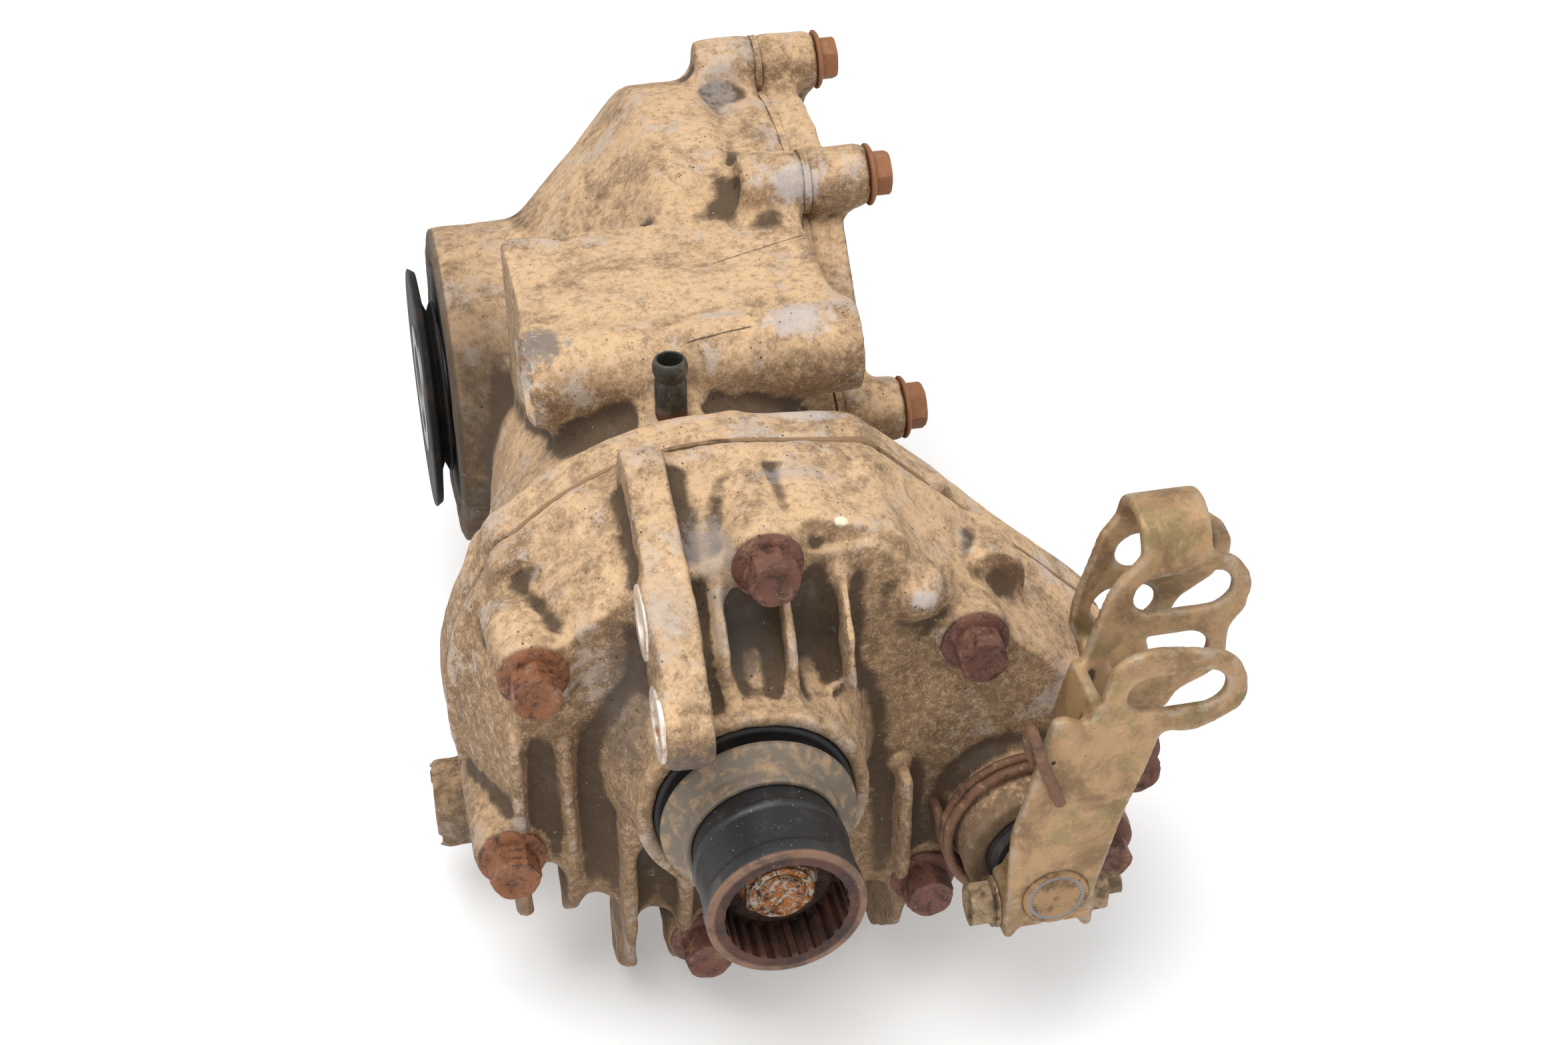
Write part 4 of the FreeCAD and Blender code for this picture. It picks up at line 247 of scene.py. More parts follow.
def wire(path, radius):
    """Surface of a round wire: a circle carried along a path in the frame that turns least.
    Its ends close to points on the path."""
    sides = 14
    path = np.asarray(path, float)
    ahead = np.gradient(path, axis=0)
    ahead /= np.linalg.norm(ahead, axis=1, keepdims=True)
    across = np.zeros_like(path)
    start = np.cross(ahead[0], [0.3, 0.2, 0.9])
    across[0] = start / np.linalg.norm(start)
    for index in range(1, len(path)):
        turned_on = across[index - 1] - ahead[index] * (across[index - 1] @ ahead[index])
        across[index] = turned_on / np.linalg.norm(turned_on)
    up = np.cross(ahead, across)
    angle = np.linspace(0, 2 * np.pi, sides, endpoint=False)[None, :, None]
    spread = np.cos(angle) * across[:, None] + np.sin(angle) * up[:, None]
    body = path[:, None] + radius * spread
    edge = radius * 0.82
    first = path[0] + edge * spread[0] - ahead[0] * radius * 0.15
    last = path[-1] + edge * spread[-1] + ahead[-1] * radius * 0.15
    first_tip = np.repeat((path[0] - ahead[0] * radius * 0.17)[None], sides, axis=0)
    last_tip = np.repeat((path[-1] + ahead[-1] * radius * 0.17)[None], sides, axis=0)
    rows = np.concatenate([first_tip[None], first[None], body, last[None], last_tip[None]])
    return rows.reshape(-1, 3), grid_faces(len(rows), sides, False)


def smooth_line(points, count):
    """A path through points: each span is the cubic that keeps the neighbours' slope."""
    points = np.asarray(points, float)
    padded = np.concatenate([2 * points[:1] - points[1:2], points, 2 * points[-1:] - points[-2:-1]])
    t = np.linspace(0, 1, count, endpoint=False)[None, :, None]
    a, b, c, d = (padded[i:len(padded) - 3 + i][:, None] for i in range(4))
    spans = 0.5 * (2 * b + (c - a) * t + (2 * a - 5 * b + 4 * c - d) * t ** 2
                   + (3 * b - a - 3 * c + d) * t ** 3)
    return np.concatenate([spans.reshape(-1, 3), points[-1:]])


def lattice(points, size, seed):
    """Smooth noise from -1 to 1: random numbers on a grid of SIZE, eased between. Each grid
    corner's number comes from its three whole coordinates, multiplied by large primes, mixed
    by shifts and cut to 16 bits."""
    place = points / size + seed * 17.31
    cell = np.floor(place).astype(np.int64)
    part = place - cell
    part = part * part * (3 - 2 * part)
    total = 0.0
    for corner in range(8):
        step = np.array([corner & 1, corner >> 1 & 1, corner >> 2 & 1])
        key = cell + step
        mixed = (key[:, 0] * 73856093) ^ (key[:, 1] * 19349663) ^ (key[:, 2] * 83492791)
        mixed = (mixed ^ (mixed >> 13)) * 1274126177 & 0x7FFFFFFF
        mixed = (mixed ^ (mixed >> 16)) & 0xFFFF
        weight = np.prod(np.where(step, part, 1 - part), axis=1)
        total = total + weight * (mixed / 32767.5 - 1)
    return total


def rough_noise(points, size, octaves, seed=1):
    """Sum of smooth noises, each half as large and 0.55 as strong as the one before."""
    total = 0.0
    for octave in range(octaves):
        total = total + lattice(points, size / 2 ** octave, seed + octave) * 0.55 ** octave
    return total


# Skins grown from the solids


def coordinates(mesh, name="co"):
    """The vertices' places as an array, or their normals."""
    values = np.empty(len(mesh.vertices) * 3, np.float32)
    mesh.vertices.foreach_get(name, values)
    return values.reshape(-1, 3).astype(float)


def put_coordinates(mesh, points):
    """Moves the vertices to new places."""
    mesh.vertices.foreach_set("co", points.astype(np.float32).ravel())
    mesh.update()


def remeshed(mesh, voxel):
    """The mesh rebuilt as even quads of the voxel's size."""
    holder = bpy.data.objects.new("holder", mesh)
    bpy.context.scene.collection.objects.link(holder)
    remesh = holder.modifiers.new("even", "REMESH")
    remesh.mode = "VOXEL"
    remesh.voxel_size = voxel
    bpy.context.view_layer.update()
    made = bpy.data.meshes.new_from_object(
        holder.evaluated_get(bpy.context.evaluated_depsgraph_get()))
    bpy.data.objects.remove(holder)
    return made


def neighbour_mean(values, edges, share):
    """Mean of each vertex's neighbours; SHARE is one over their number."""
    total = np.empty_like(values)
    for axis in range(values.shape[1]):
        total[:, axis] = np.bincount(edges[:, 0], values[edges[:, 1], axis], len(values))
        total[:, axis] += np.bincount(edges[:, 1], values[edges[:, 0], axis], len(values))
    return total * share


def lump(centre, radii):
    """A closed swelling: centre + radii * (cos(a) cos(b), cos(a) sin(b), sin(a))."""
    steps = 20
    a = np.linspace(-np.pi / 2, np.pi / 2, steps)[:, None]
    b = np.linspace(0, 2 * np.pi, 2 * steps, endpoint=False)[None, :]
    ball = np.stack([np.cos(a) * np.cos(b), np.cos(a) * np.sin(b), np.sin(a) + 0 * b], axis=-1)
    points = np.array(centre) + np.array(radii) * ball
    return points.reshape(-1, 3), grid_faces(steps, 2 * steps, False)


def stub(axis, centre, radius, start, end):
    """A closed round boss along an axis."""
    return turned(axis, centre, [(start, 0.01), (start, radius), (end, radius), (end, 0.01)], 40,
                  False)


def grown_skin(name, node, body, finish, voxel, fillet, sand, relax=4, extra=()):
    """A cast or pressed skin round a solid and extra closed surfaces: all grown by the fillet,
    remeshed, shrunk again and relaxed, then roughened along its normals. It carries two maps,
    `hollow` and `ridge`: how far the surface lies below or above a broad average of itself."""
    solid = bmesh.new()
    solid.from_mesh(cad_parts[node].data)
    for points, faces in extra:
        added = bpy.data.meshes.new("added")
        added.from_pydata((points * MM).tolist(), [], outward(points, faces).tolist())
        solid.from_mesh(added)
        bpy.data.meshes.remove(added)
    bmesh.ops.remove_doubles(solid, verts=solid.verts, dist=1e-6)
    mesh = bpy.data.meshes.new(name)
    solid.to_mesh(mesh)
    solid.free()
    mesh = remeshed(mesh, voxel)
    for step in (fillet, -fillet):
        if fillet:
            put_coordinates(mesh, coordinates(mesh) + step * coordinates(mesh, "normal"))
            mesh = remeshed(mesh, voxel)
    edges = np.empty(len(mesh.edges) * 2, np.int32)
    mesh.edges.foreach_get("vertices", edges)
    edges = edges.reshape(-1, 2)
    count = np.bincount(edges.ravel(), minlength=len(mesh.vertices)).astype(float)
    share = 1 / np.maximum(count, 1)[:, None]
    points = coordinates(mesh)
    # A step to the neighbours' mean and a slightly longer one back smooth without shrinking.
    for _ in range(relax):
        points = points + 0.5 * (neighbour_mean(points, edges, share) - points)
        points = points - 0.52 * (neighbour_mean(points, edges, share) - points)
    put_coordinates(mesh, points)
    normals = coordinates(mesh, "normal")
    # Heights above the surface averaged over a few steps and over many.
    broad = points
    heights = []
    for rounds in (8, 40):
        for _ in range(rounds):
            broad = broad + 0.6 * (neighbour_mean(broad, edges, share) - broad)
        heights.append(np.einsum("ij,ij->i", broad - points, normals))
    swell = sand * rough_noise(points, voxel * 5, 3) + 1.6 * sand * rough_noise(points, 0.018, 2, 5)
    points = points + normals * swell[:, None]
    put_coordinates(mesh, points)
    fine, wide = heights[0] / (voxel * 0.35), heights[1] / (voxel * 1.6)
    for label, values in (("hollow", np.clip(fine, 0, 1) * 0.5 + np.clip(wide, 0, 1)),
                          ("ridge", np.clip(-fine, 0, 1) + np.clip(-wide, 0, 1) * 0.5)):
        layer = mesh.attributes.new(label, "FLOAT", "POINT")
        layer.data.foreach_set("value", np.clip(values, 0, 1).astype(np.float32))
    return add_piece(name, mesh, body, finish, [node])


def thickened(name, node, share, finish):
    """A copy of a gasket made thicker about its middle plane, and 0.2 percent smaller across."""
    solid = bmesh.new()
    solid.from_mesh(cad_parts[node].data)
    bmesh.ops.remove_doubles(solid, verts=solid.verts, dist=1e-6)
    mesh = bpy.data.meshes.new(name)
    solid.to_mesh(mesh)
    solid.free()
    points = coordinates(mesh)
    middle = (points.min(axis=0) + points.max(axis=0)) / 2
    share = np.array(share)
    put_coordinates(mesh, middle + (points - middle) * share * np.where(share > 1, 1.0, 0.998))
    return add_piece(name, mesh, "housing", finish, [node])


# Shader maths


class Channel:
    """A number that changes over a surface. Sums and products of it add Math nodes."""

    def __init__(self, finish, socket):
        self.finish = finish
        self.socket = socket

    def math(self, operation, first, second):
        made = self.finish.node("ShaderNodeMath", {"operation": operation}, {0: first, 1: second})
        return Channel(self.finish, made.outputs[0])

    def __add__(self, other):
        return self.math("ADD", self, other)

    def __radd__(self, other):
        return self.math("ADD", other, self)

    def __sub__(self, other):
        return self.math("SUBTRACT", self, other)

    def __rsub__(self, other):
        return self.math("SUBTRACT", other, self)

    def __mul__(self, other):
        return self.math("MULTIPLY", self, other)

    def larger(self, other):
        return self.math("MAXIMUM", self, other)

    def size(self):
        return self.math("ABSOLUTE", self, 0.0)

    def root(self):
        return self.math("SQRT", self, 0.0)

    def between(self, low, high):
        """0 below LOW, 1 above HIGH, eased between."""
        made = self.finish.node(
            "ShaderNodeMapRange", {"interpolation_type": "SMOOTHSTEP"},
            {"Value": self, "From Min": low, "From Max": high})
        return Channel(self.finish, made.outputs["Result"])


def linear(colour):
    """A screen colour as the shader's linear one."""
    values = [value / 12.92 if value <= 0.04045 else ((value + 0.055) / 1.055) ** 2.4
              for value in colour]
    return (*values, 1.0)


class Finish:
    """A material built from nodes."""

    def __init__(self, name):
        self.material = bpy.data.materials.new(name)
        self.material.use_nodes = True
        self.tree = self.material.node_tree
        self.shader = self.tree.nodes["Principled BSDF"]
        self.place = self.node("ShaderNodeTexCoord").outputs["Object"]
        self.colour = None

    def node(self, kind, settings=None, values=None):
        made = self.tree.nodes.new(kind)
        for name, value in (settings or {}).items():
            setattr(made, name, value)
        for name, value in (values or {}).items():
            self.feed(made.inputs[name], value)
        return made

    def feed(self, socket, value):
        if isinstance(value, Channel):
            value = value.socket
        if isinstance(value, bpy.types.NodeSocket):
            self.tree.links.new(value, socket)
        else:
            socket.default_value = value

    def shifted(self, shift):
        """The object's coordinates, shifted so that noises of one size differ."""
        made = self.node("ShaderNodeMapping", None, {
            "Vector": self.place, "Location": (shift, shift * 0.7, shift * 1.3)})
        return made.outputs[0]

    def noise(self, size, detail=4.0, rough=0.55, warp=0.0, shift=0.0):
        """Noise whose blobs are about SIZE millimetres."""
        made = self.node("ShaderNodeTexNoise", None, {
            "Vector": self.shifted(shift), "Scale": 1000 / size, "Detail": detail,
            "Roughness": rough, "Distortion": warp})
        return Channel(self, made.outputs[0])

    def cells(self, size, shift=0.0):
        """Distance to the nearest of points scattered SIZE millimetres apart."""
        made = self.node("ShaderNodeTexVoronoi", None, {
            "Vector": self.shifted(shift), "Scale": 1000 / size})
        return Channel(self, made.outputs["Distance"])

    def map(self, name):
        """A map that the mesh carries."""
        made = self.node("ShaderNodeAttribute", {"attribute_name": name})
        return Channel(self, made.outputs["Fac"])

    def near(self, centre, radii, ragged=1.1):
        """1 round a place (all in millimetres), 0 outside, with a ragged edge."""
        spot = self.node("ShaderNodeVectorMath", {"operation": "SUBTRACT"}, {
            0: self.place, 1: tuple(value * MM for value in centre)})
        spot = self.node("ShaderNodeVectorMath", {"operation": "DIVIDE"}, {
            0: spot.outputs[0], 1: tuple(value * MM for value in radii)})
        spot = self.node("ShaderNodeVectorMath", {"operation": "LENGTH"}, {0: spot.outputs[0]})
        away = Channel(self, spot.outputs["Value"])
        edge = self.noise(3.5, 5, 0.75) * 2 - 1
        return 1 - (away + edge * ragged).between(0.55, 1.1)

    def up(self):
        """How far the surface looks up, -1 to 1."""
        normal = self.node("ShaderNodeNewGeometry").outputs["Normal"]
        made = self.node("ShaderNodeSeparateXYZ", None, {"Vector": normal})
        return Channel(self, made.outputs["Z"])

    def where(self, letter):
        """One object coordinate in millimetres; with a minus before the letter it counts down."""
        made = self.node("ShaderNodeSeparateXYZ", None, {"Vector": self.place})
        return Channel(self, made.outputs[letter[-1]]) * (-1000 if letter[0] == "-" else 1000)

    def mix(self, factor, first, second):
        """First colour where the factor is 0, second where it is 1. Three numbers are a screen
        colour."""
        first, second = (colour if isinstance(colour, bpy.types.NodeSocket) else linear(colour)
                         for colour in (first, second))
        made = self.node("ShaderNodeMix", {"data_type": "RGBA"}, {0: factor, 6: first, 7: second})
        return made.outputs[2]

    def coat(self, factor, colour):
        """Lays a colour over what is there, where the factor is 1."""
        self.colour = self.mix(factor, self.colour, colour)

    def paint(self, roughness, metallic, height, depth, bump):
        """Feeds the shader; DEPTH is the height's reach in metres, BUMP its strength."""
        self.feed(self.shader.inputs["Base Color"], self.colour)
        self.feed(self.shader.inputs["Roughness"], roughness)
        self.feed(self.shader.inputs["Metallic"], metallic)
        relief = self.node("ShaderNodeBump", None, {
            "Strength": bump, "Distance": depth, "Height": height})
        self.feed(self.shader.inputs["Normal"], relief.outputs[0])
        return self.material


# Stains and worn places of the castings, and painted shade between the fins: middle and radii in
# millimetres, colour, strength.
CAST_MARKS = (
    ((-36, -104, 76), (8, 9, 9), (0.45, 0.42, 0.40), 0.8),
    ((34, -106, 77), (10, 7, 6), (0.78, 0.75, 0.74), 0.6),
    ((14, -100, 78), (7, 3, 4), (0.72, 0.69, 0.68), 0.45),
    ((47, -47, 86), (9, 7, 7), (0.76, 0.74, 0.74), 0.6),
    ((36, 12, 88), (8, 12, 8), (0.70, 0.66, 0.63), 0.5),
    ((-18, -224, 32), (10, 9, 8), (0.34, 0.31, 0.30), 0.75),
    ((-19, -205, 62), (6, 12, 12), (0.70, 0.65, 0.60), 0.35),
    ((27.9, -186, 67.7), (2.2, 2.4, 2.2), (0.95, 0.90, 0.80), 1.0),
    ((76, -171, 30), (7, 3, 7), (0.36, 0.27, 0.19), 0.8),
    ((48, -192, 44), (4, 3, 3.5), (0.78, 0.75, 0.73), 0.7),
    # These three paint shade, with a dark sheen, between the fins on both sides of the lug.
    ((1, -190, 38), (8, 12, 15), (0.34, 0.31, 0.29), 0.7),
    ((18, -190, 38), (5, 10, 14), (0.36, 0.32, 0.29), 0.5),
    ((-29, -192, 20), (7, 12, 30), (0.36, 0.32, 0.29), 0.55),
    ((-6, -185, 62), (8, 14, 6), (0.66, 0.63, 0.61), 0.5),
    ((22, -166, 70), (14, 4, 4), (0.66, 0.63, 0.62), 0.45),
    ((28, -140, 69), (12, 4, 4), (0.74, 0.72, 0.72), 0.6),
    ((31.5, -37.5, 79), (1.6, 2.2, 5), (0.10, 0.08, 0.07), 0.95),
    ((-50, -37, 33), (3, 7, 3), (0.80, 0.77, 0.72), 0.7),
    ((60, -192, 60), (7, 12, 8), (0.68, 0.64, 0.61), 0.4),
    ((30, -150, -62), (26, 22, 12), (0.36, 0.28, 0.20), 0.5),
    ((72, -208, -30), (26, 9, 26), (0.36, 0.28, 0.20), 0.75),
    ((-38, -103, 65), (4.5, 12, 12), (0.84, 0.82, 0.80), 0.8),
    ((-68, -127, -61), (14, 16, 16), (0.33, 0.26, 0.19), 0.75),
    ((-79, -127, -61), (1.2, 15, 15), (0.60, 0.40, 0.28), 0.8),
    ((0, -212, 0), (36, 8, 36), (0.50, 0.40, 0.29), 0.5),
)


def casting_finish(look):
    """Sand-cast aluminium under dried mud: brown mottling, pale top faces as painted light, dark
    oily mud and painted shade in the hollows and on the left neck, grey patches where the mud
    has rubbed off, white flecks, dark specks and the marks in CAST_MARKS, some of them painted
    shade."""
    f = Finish("cast_aluminium_dusty")
    hollow, ridge = f.map("hollow"), f.map("ridge")
    broad = f.noise(60, 3, 0.55)
    patches = f.noise(17, 5, 0.62, warp=0.4, shift=0.6)
    mottle = f.noise(6, 7, 0.78, warp=0.3)
    grain = f.noise(2.4, 7, 0.84, warp=0.2)
    specks = f.noise(0.6, 4, 0.75)
    # Top faces lean to the pale dust: painted light from above, mixed with random pale mud.
    top = f.up().between(0.0, 0.9)
    f.colour = f.mix((broad * 0.6 + patches * 0.4 + top * 0.45).between(0.50, 0.95),
                     look.dust, look.pale_dust_and_top_light)
    soil = f.noise(24, 6, 0.68, warp=0.5, shift=3.3)
    f.coat((soil + mottle * 0.35).between(0.62, 0.84) * 0.7, (0.42, 0.32, 0.225))
    f.coat((mottle * 0.7 + patches * 0.5).between(0.56, 0.78) * 0.5, (0.44, 0.34, 0.24))
    f.coat(grain.between(0.48, 0.66) * 0.5, (0.88, 0.75, 0.59))
    f.coat((1 - grain).between(0.49, 0.66) * 0.55, (0.32, 0.245, 0.17))
    f.coat(specks.between(0.56, 0.66) * 0.35, (0.92, 0.82, 0.68))
    bare = f.noise(15, 6, 0.72, warp=0.3, shift=0.9)
    rubbed = (bare + ridge * 0.05 + grain * 0.3).between(0.70, 0.80) * 0.55
    f.coat(rubbed, look.bare)
    stain = f.noise(13, 5, 0.62, warp=0.8, shift=0.4)
    # Oily dirt, and painted shade in the hollows from the hollow map.
    dirt_and_shade = (stain * 0.8 + hollow * 0.75 + mottle * 0.2).between(0.66, 1.0) * 0.9
    f.coat(dirt_and_shade, look.grime_and_shade)
    for centre, radii, tint, strength in CAST_MARKS:
        f.coat(f.near(centre, radii) * strength, tint)
    ends = f.where("-X").between(54.8, 55.6) * f.where("Y").between(-62, -60)
    f.coat(ends * (0.55 + grain * 0.3), (0.24, 0.21, 0.19))
    # Grime and painted shade on the front of the left neck.
    neck_grime_and_shade = f.where("-X").between(30, 46) * f.where("Y").between(-60, -50)
    neck_grime_and_shade = neck_grime_and_shade * (1 - f.where("Z").between(30, 56))
    f.coat(neck_grime_and_shade * (0.45 + mottle * 0.7), (0.27, 0.21, 0.15))
    low = 1 - f.where("Z").between(-70, 10)
    f.coat(low * (0.25 + soil * 0.5), (0.34, 0.26, 0.18))
    x, y = f.where("X"), f.where("Y")
    scratches = []
    for level, slope, left, right, width in ((110.5, 0.142, 2.5, 20.5, 0.35),
                                             (77.9, 0.372, 17, 47, 0.3)):
        off = ((y + level - x * slope).size() + grain * 0.5).between(width, width + 0.25)
        scratches.append((1 - off) * x.between(left, left + 1) * (1 - x.between(right, right + 1)))
    lines = scratches[0].larger(scratches[1]) * f.where("Z").between(60, 62)
    f.coat(lines * 0.85, (0.15, 0.11, 0.08))
    white = (f.noise(3.2, 6, 0.8, shift=1.7) + specks * 0.35).between(0.82, 0.90)
    f.coat(white * 0.85, (0.85, 0.83, 0.80))
    dots = (1 - f.cells(3.1)).between(0.87, 0.93) * f.noise(14, 2, shift=2.2).between(0.42, 0.58)
    f.coat(dots * 0.85, (0.12, 0.09, 0.07))
    height = mottle * 0.8 + grain * 0.8 + specks * 0.35 - dots * 0.5 - lines
    return f.paint(0.88 - rubbed * 0.4, rubbed * 0.3, height, 0.0004, 0.6)


def rust_finish(name, rust, dark, share, dusty, west=None):
    """Rusted steel: DARK with a bloom of RUST above the noise level SHARE, and dust; WEST is
    the bloom's colour on the part's left side."""
    f = Finish(name)
    bloom = f.noise(4, 6, 0.7, warp=0.5)
    fine = f.noise(0.8, 4, 0.7)
    if west:
        rust = f.mix(f.where("-X").between(30, 45), rust, west)
    f.colour = f.mix((bloom + fine * 0.3).between(share + 0.05, share + 0.28), dark, rust)
    dust = (f.noise(5, 5, 0.65, shift=0.6) + fine * 0.25).between(0.66, 0.82) * dusty
    f.coat(dust, (0.60, 0.48, 0.37))
    spots = (1 - f.cells(1.1)).between(0.80, 0.9) * f.noise(3, 3, shift=4).between(0.5, 0.62)
    f.coat(spots * 0.7, (0.70, 0.60, 0.50))
    return f.paint(0.52 + bloom * 0.3, 0.15, fine * 0.7 + bloom, 0.00014, 0.5)


def zinc_finish(look):
    """Worn yellow zinc on pressed steel: dull gold, olive and brown clouds, grey rubbed spots."""
    f = Finish("zinc_worn")
    hollow, ridge = f.map("hollow"), f.map("ridge")
    cloud = f.noise(16, 5, 0.62, warp=0.6)
    middle = f.noise(4.5, 5, 0.7, warp=0.3, shift=0.8)
    fine = f.noise(1.1, 5, 0.7)
    f.colour = f.mix((cloud + fine * 0.2).between(0.48, 0.74), look.zinc, (0.50, 0.39, 0.27))
    olive = (f.noise(10, 5, 0.65, shift=1.1) + fine * 0.15).between(0.56, 0.74) * 0.55
    f.coat(olive, (0.46, 0.43, 0.26))
    f.coat(middle.between(0.54, 0.70) * 0.5, (0.74, 0.61, 0.44))
    worn = (ridge * 0.26 + f.noise(6, 5, 0.75, shift=0.3)).between(0.70, 0.86)
    f.coat(worn * 0.6, (0.66, 0.61, 0.54))
    # Dark dirt, and painted shade in the hollows from the hollow map.
    dirt_and_shade = (hollow * 0.7 + f.noise(9, 5, 0.65, shift=2.0)).between(0.66, 1.0)
    f.coat(dirt_and_shade * 0.85, (0.24, 0.18, 0.12))
    foot = f.where("-Z").between(18, 32) * (f.noise(5, 5, 0.7, shift=2.7)).between(0.35, 0.6)
    f.coat(foot * 0.45, (0.34, 0.25, 0.16))
    pits = (1 - f.cells(2.3, 0.5)).between(0.9, 0.95) * f.noise(12, 2, shift=3).between(0.5, 0.6)
    pit = f.near((73.1, -227.6, 14.8), (0.8, 2, 0.8), 0.2)
    pits = pits.larger(pit)
    f.coat(pits, (0.12, 0.09, 0.07))
    return f.paint(0.44 + fine * 0.26 + dirt_and_shade * 0.25, 0.35, fine * 0.6 + cloud - pits, 0.00014, 0.45)


def plain_finish(name, base, second, size, roughness, metallic, depth=0.0001, share=0.55):
    """Two tones mixed by noise, with a fine relief."""
    f = Finish(name)
    cloud = f.noise(size, 5, 0.6, warp=0.3)
    fine = f.noise(size * 0.12, 4, 0.7)
    f.colour = f.mix((cloud + fine * 0.2).between(share, share + 0.22), base, second)
    return f.paint(roughness + fine * 0.18, metallic, fine, depth, 0.5)


def coupling_finish(look):
    """Black paint with grey scuffs outside, rust-brown on the rim and inside."""
    f = Finish("coupling_black")
    cloud = f.noise(9, 5, 0.65, warp=0.4)
    fine = f.noise(0.9, 4, 0.7)
    f.colour = f.mix((cloud + fine * 0.2).between(0.62, 0.82) * 0.7, look.black, (0.30, 0.28, 0.26))
    x, z = f.where("X"), f.where("Z")
    inside = 1 - (x * x + z * z).root().between(17.6, 18.6)
    rim = f.where("-Y").between(248.6, 249.6)
    rust = f.mix((cloud + fine * 0.3).between(0.5, 0.75), (0.34, 0.25, 0.21), (0.50, 0.38, 0.30))
    deep = f.mix(cloud.between(0.4, 0.65), (0.17, 0.10, 0.08), (0.33, 0.19, 0.13))
    f.coat(rim, rust)
    f.coat(inside, deep)
    dust = (1 - f.cells(1.6)).between(0.84, 0.92) * f.noise(6, 3, shift=1).between(0.45, 0.6)
    f.coat(dust * 0.7, (0.62, 0.56, 0.48))
    return f.paint(0.34 + fine * 0.2 + rim.larger(inside) * 0.25, 0.1, fine + cloud, 0.00008, 0.4)


def crust_finish():
    """Nut eaten by rust: orange and dark brown under flakes of pale oxide."""
    f = Finish("crusted_nut")
    cloud = f.noise(3.5, 5, 0.7, warp=0.6)
    flakes = f.noise(2.4, 6, 0.75, warp=0.8, shift=1.3)
    fine = f.noise(0.6, 4, 0.7)
    f.colour = f.mix((cloud + fine * 0.3).between(0.52, 0.72), (0.20, 0.11, 0.07),
                     (0.62, 0.38, 0.17))
    pale = (flakes + fine * 0.25).between(0.60, 0.70)
    f.coat(pale * 0.85, (0.72, 0.68, 0.62))
    x, z = f.where("X"), f.where("Z")
    washer = (x * x + z * z).between(90, 104)
    f.coat(washer * 0.9, (0.17, 0.10, 0.07))
    return f.paint(0.7 + fine * 0.2, 0.1, flakes * 1.2 + fine * 0.6, 0.0003, 0.8)


def vent_finish():
    """Dark plated tube with dust specks, rusted at its foot."""
    f = Finish("vent_steel")
    cloud = f.noise(5, 5, 0.6, warp=0.3)
    fine = f.noise(0.6, 4, 0.7)
    f.colour = f.mix((cloud + fine * 0.2).between(0.52, 0.76), (0.17, 0.175, 0.15),
                     (0.34, 0.31, 0.25))
    foot = 1 - (f.where("Z") + cloud * 3).between(65, 67.5)
    f.coat(foot * 0.85, (0.36, 0.19, 0.12))
    dust = (1 - f.cells(1.4)).between(0.86, 0.93) * f.noise(4, 3, shift=1).between(0.48, 0.6)
    f.coat(dust * 0.8, (0.68, 0.64, 0.57))
    return f.paint(0.36 + fine * 0.25 + foot * 0.3, 0.35, fine, 0.00006, 0.4)


# Two-tone finishes: the material's name, both colours, the clouds' size in millimetres,
# roughness, metallic, and where they aren't the usual ones the relief's depth in metres and
# the noise level between the tones.
PLAIN_FINISHES = {
    "shaft_end": ("dusty_shaft_end", (0.62, 0.49, 0.35), (0.40, 0.31, 0.21), 5, 0.7, 0.1),
    "machined": ("machined_face", (0.86, 0.81, 0.75), (0.56, 0.38, 0.26), 5, 0.35, 0.5,
                 0.0001, 0.6),
    "zinc_plain": ("zinc_hardware", (0.60, 0.51, 0.40), (0.36, 0.29, 0.22), 4, 0.5, 0.5,
                   0.0001, 0.5),
    "shield": ("shield_steel", (0.45, 0.41, 0.36), (0.62, 0.52, 0.41), 4, 0.6, 0.4),
    "rubber": ("seal_rubber", (0.10, 0.095, 0.095), (0.20, 0.17, 0.15), 8, 0.62, 0.0),
    "gear": ("gear_steel", (0.50, 0.50, 0.50), (0.40, 0.39, 0.37), 12, 0.3, 0.9),
    "bearing": ("bearing_steel", (0.72, 0.72, 0.72), (0.62, 0.62, 0.62), 20, 0.18, 0.95,
                0.00002),
    "brass": ("cage_brass", (0.72, 0.58, 0.32), (0.60, 0.46, 0.24), 8, 0.35, 0.9),
    "gasket": ("gasket_fibre", (0.56, 0.45, 0.33), (0.16, 0.12, 0.09), 12, 0.9, 0.0,
               0.0001, 0.58),
    "lining": ("friction_lining", (0.26, 0.20, 0.16), (0.16, 0.13, 0.11), 3, 0.9, 0.0),
}


def make_finishes(scene):
    """All materials of the part."""
    metal = scene.metal_settings
    FINISHES["casting"] = casting_finish(scene.casting_settings)
    FINISHES["bolt"] = rust_finish("rusted_bolt", metal.rust, metal.dark_rust, 0.42, 0.5,
                                   (0.52, 0.33, 0.21))
    FINISHES["orange_bolt"] = rust_finish("orange_bolt", (0.56, 0.37, 0.23),
                                          (0.30, 0.18, 0.12), 0.3, 0.6)
    FINISHES["spring"] = rust_finish("rusted_spring", (0.44, 0.31, 0.23), (0.24, 0.15, 0.11),
                                     0.38, 0.8)
    FINISHES["zinc"] = zinc_finish(metal)
    FINISHES["coupling"] = coupling_finish(metal)
    FINISHES["vent"] = vent_finish()
    FINISHES["nut"] = crust_finish()
    for finish, values in PLAIN_FINISHES.items():
        FINISHES[finish] = plain_finish(*values)


# Fasteners


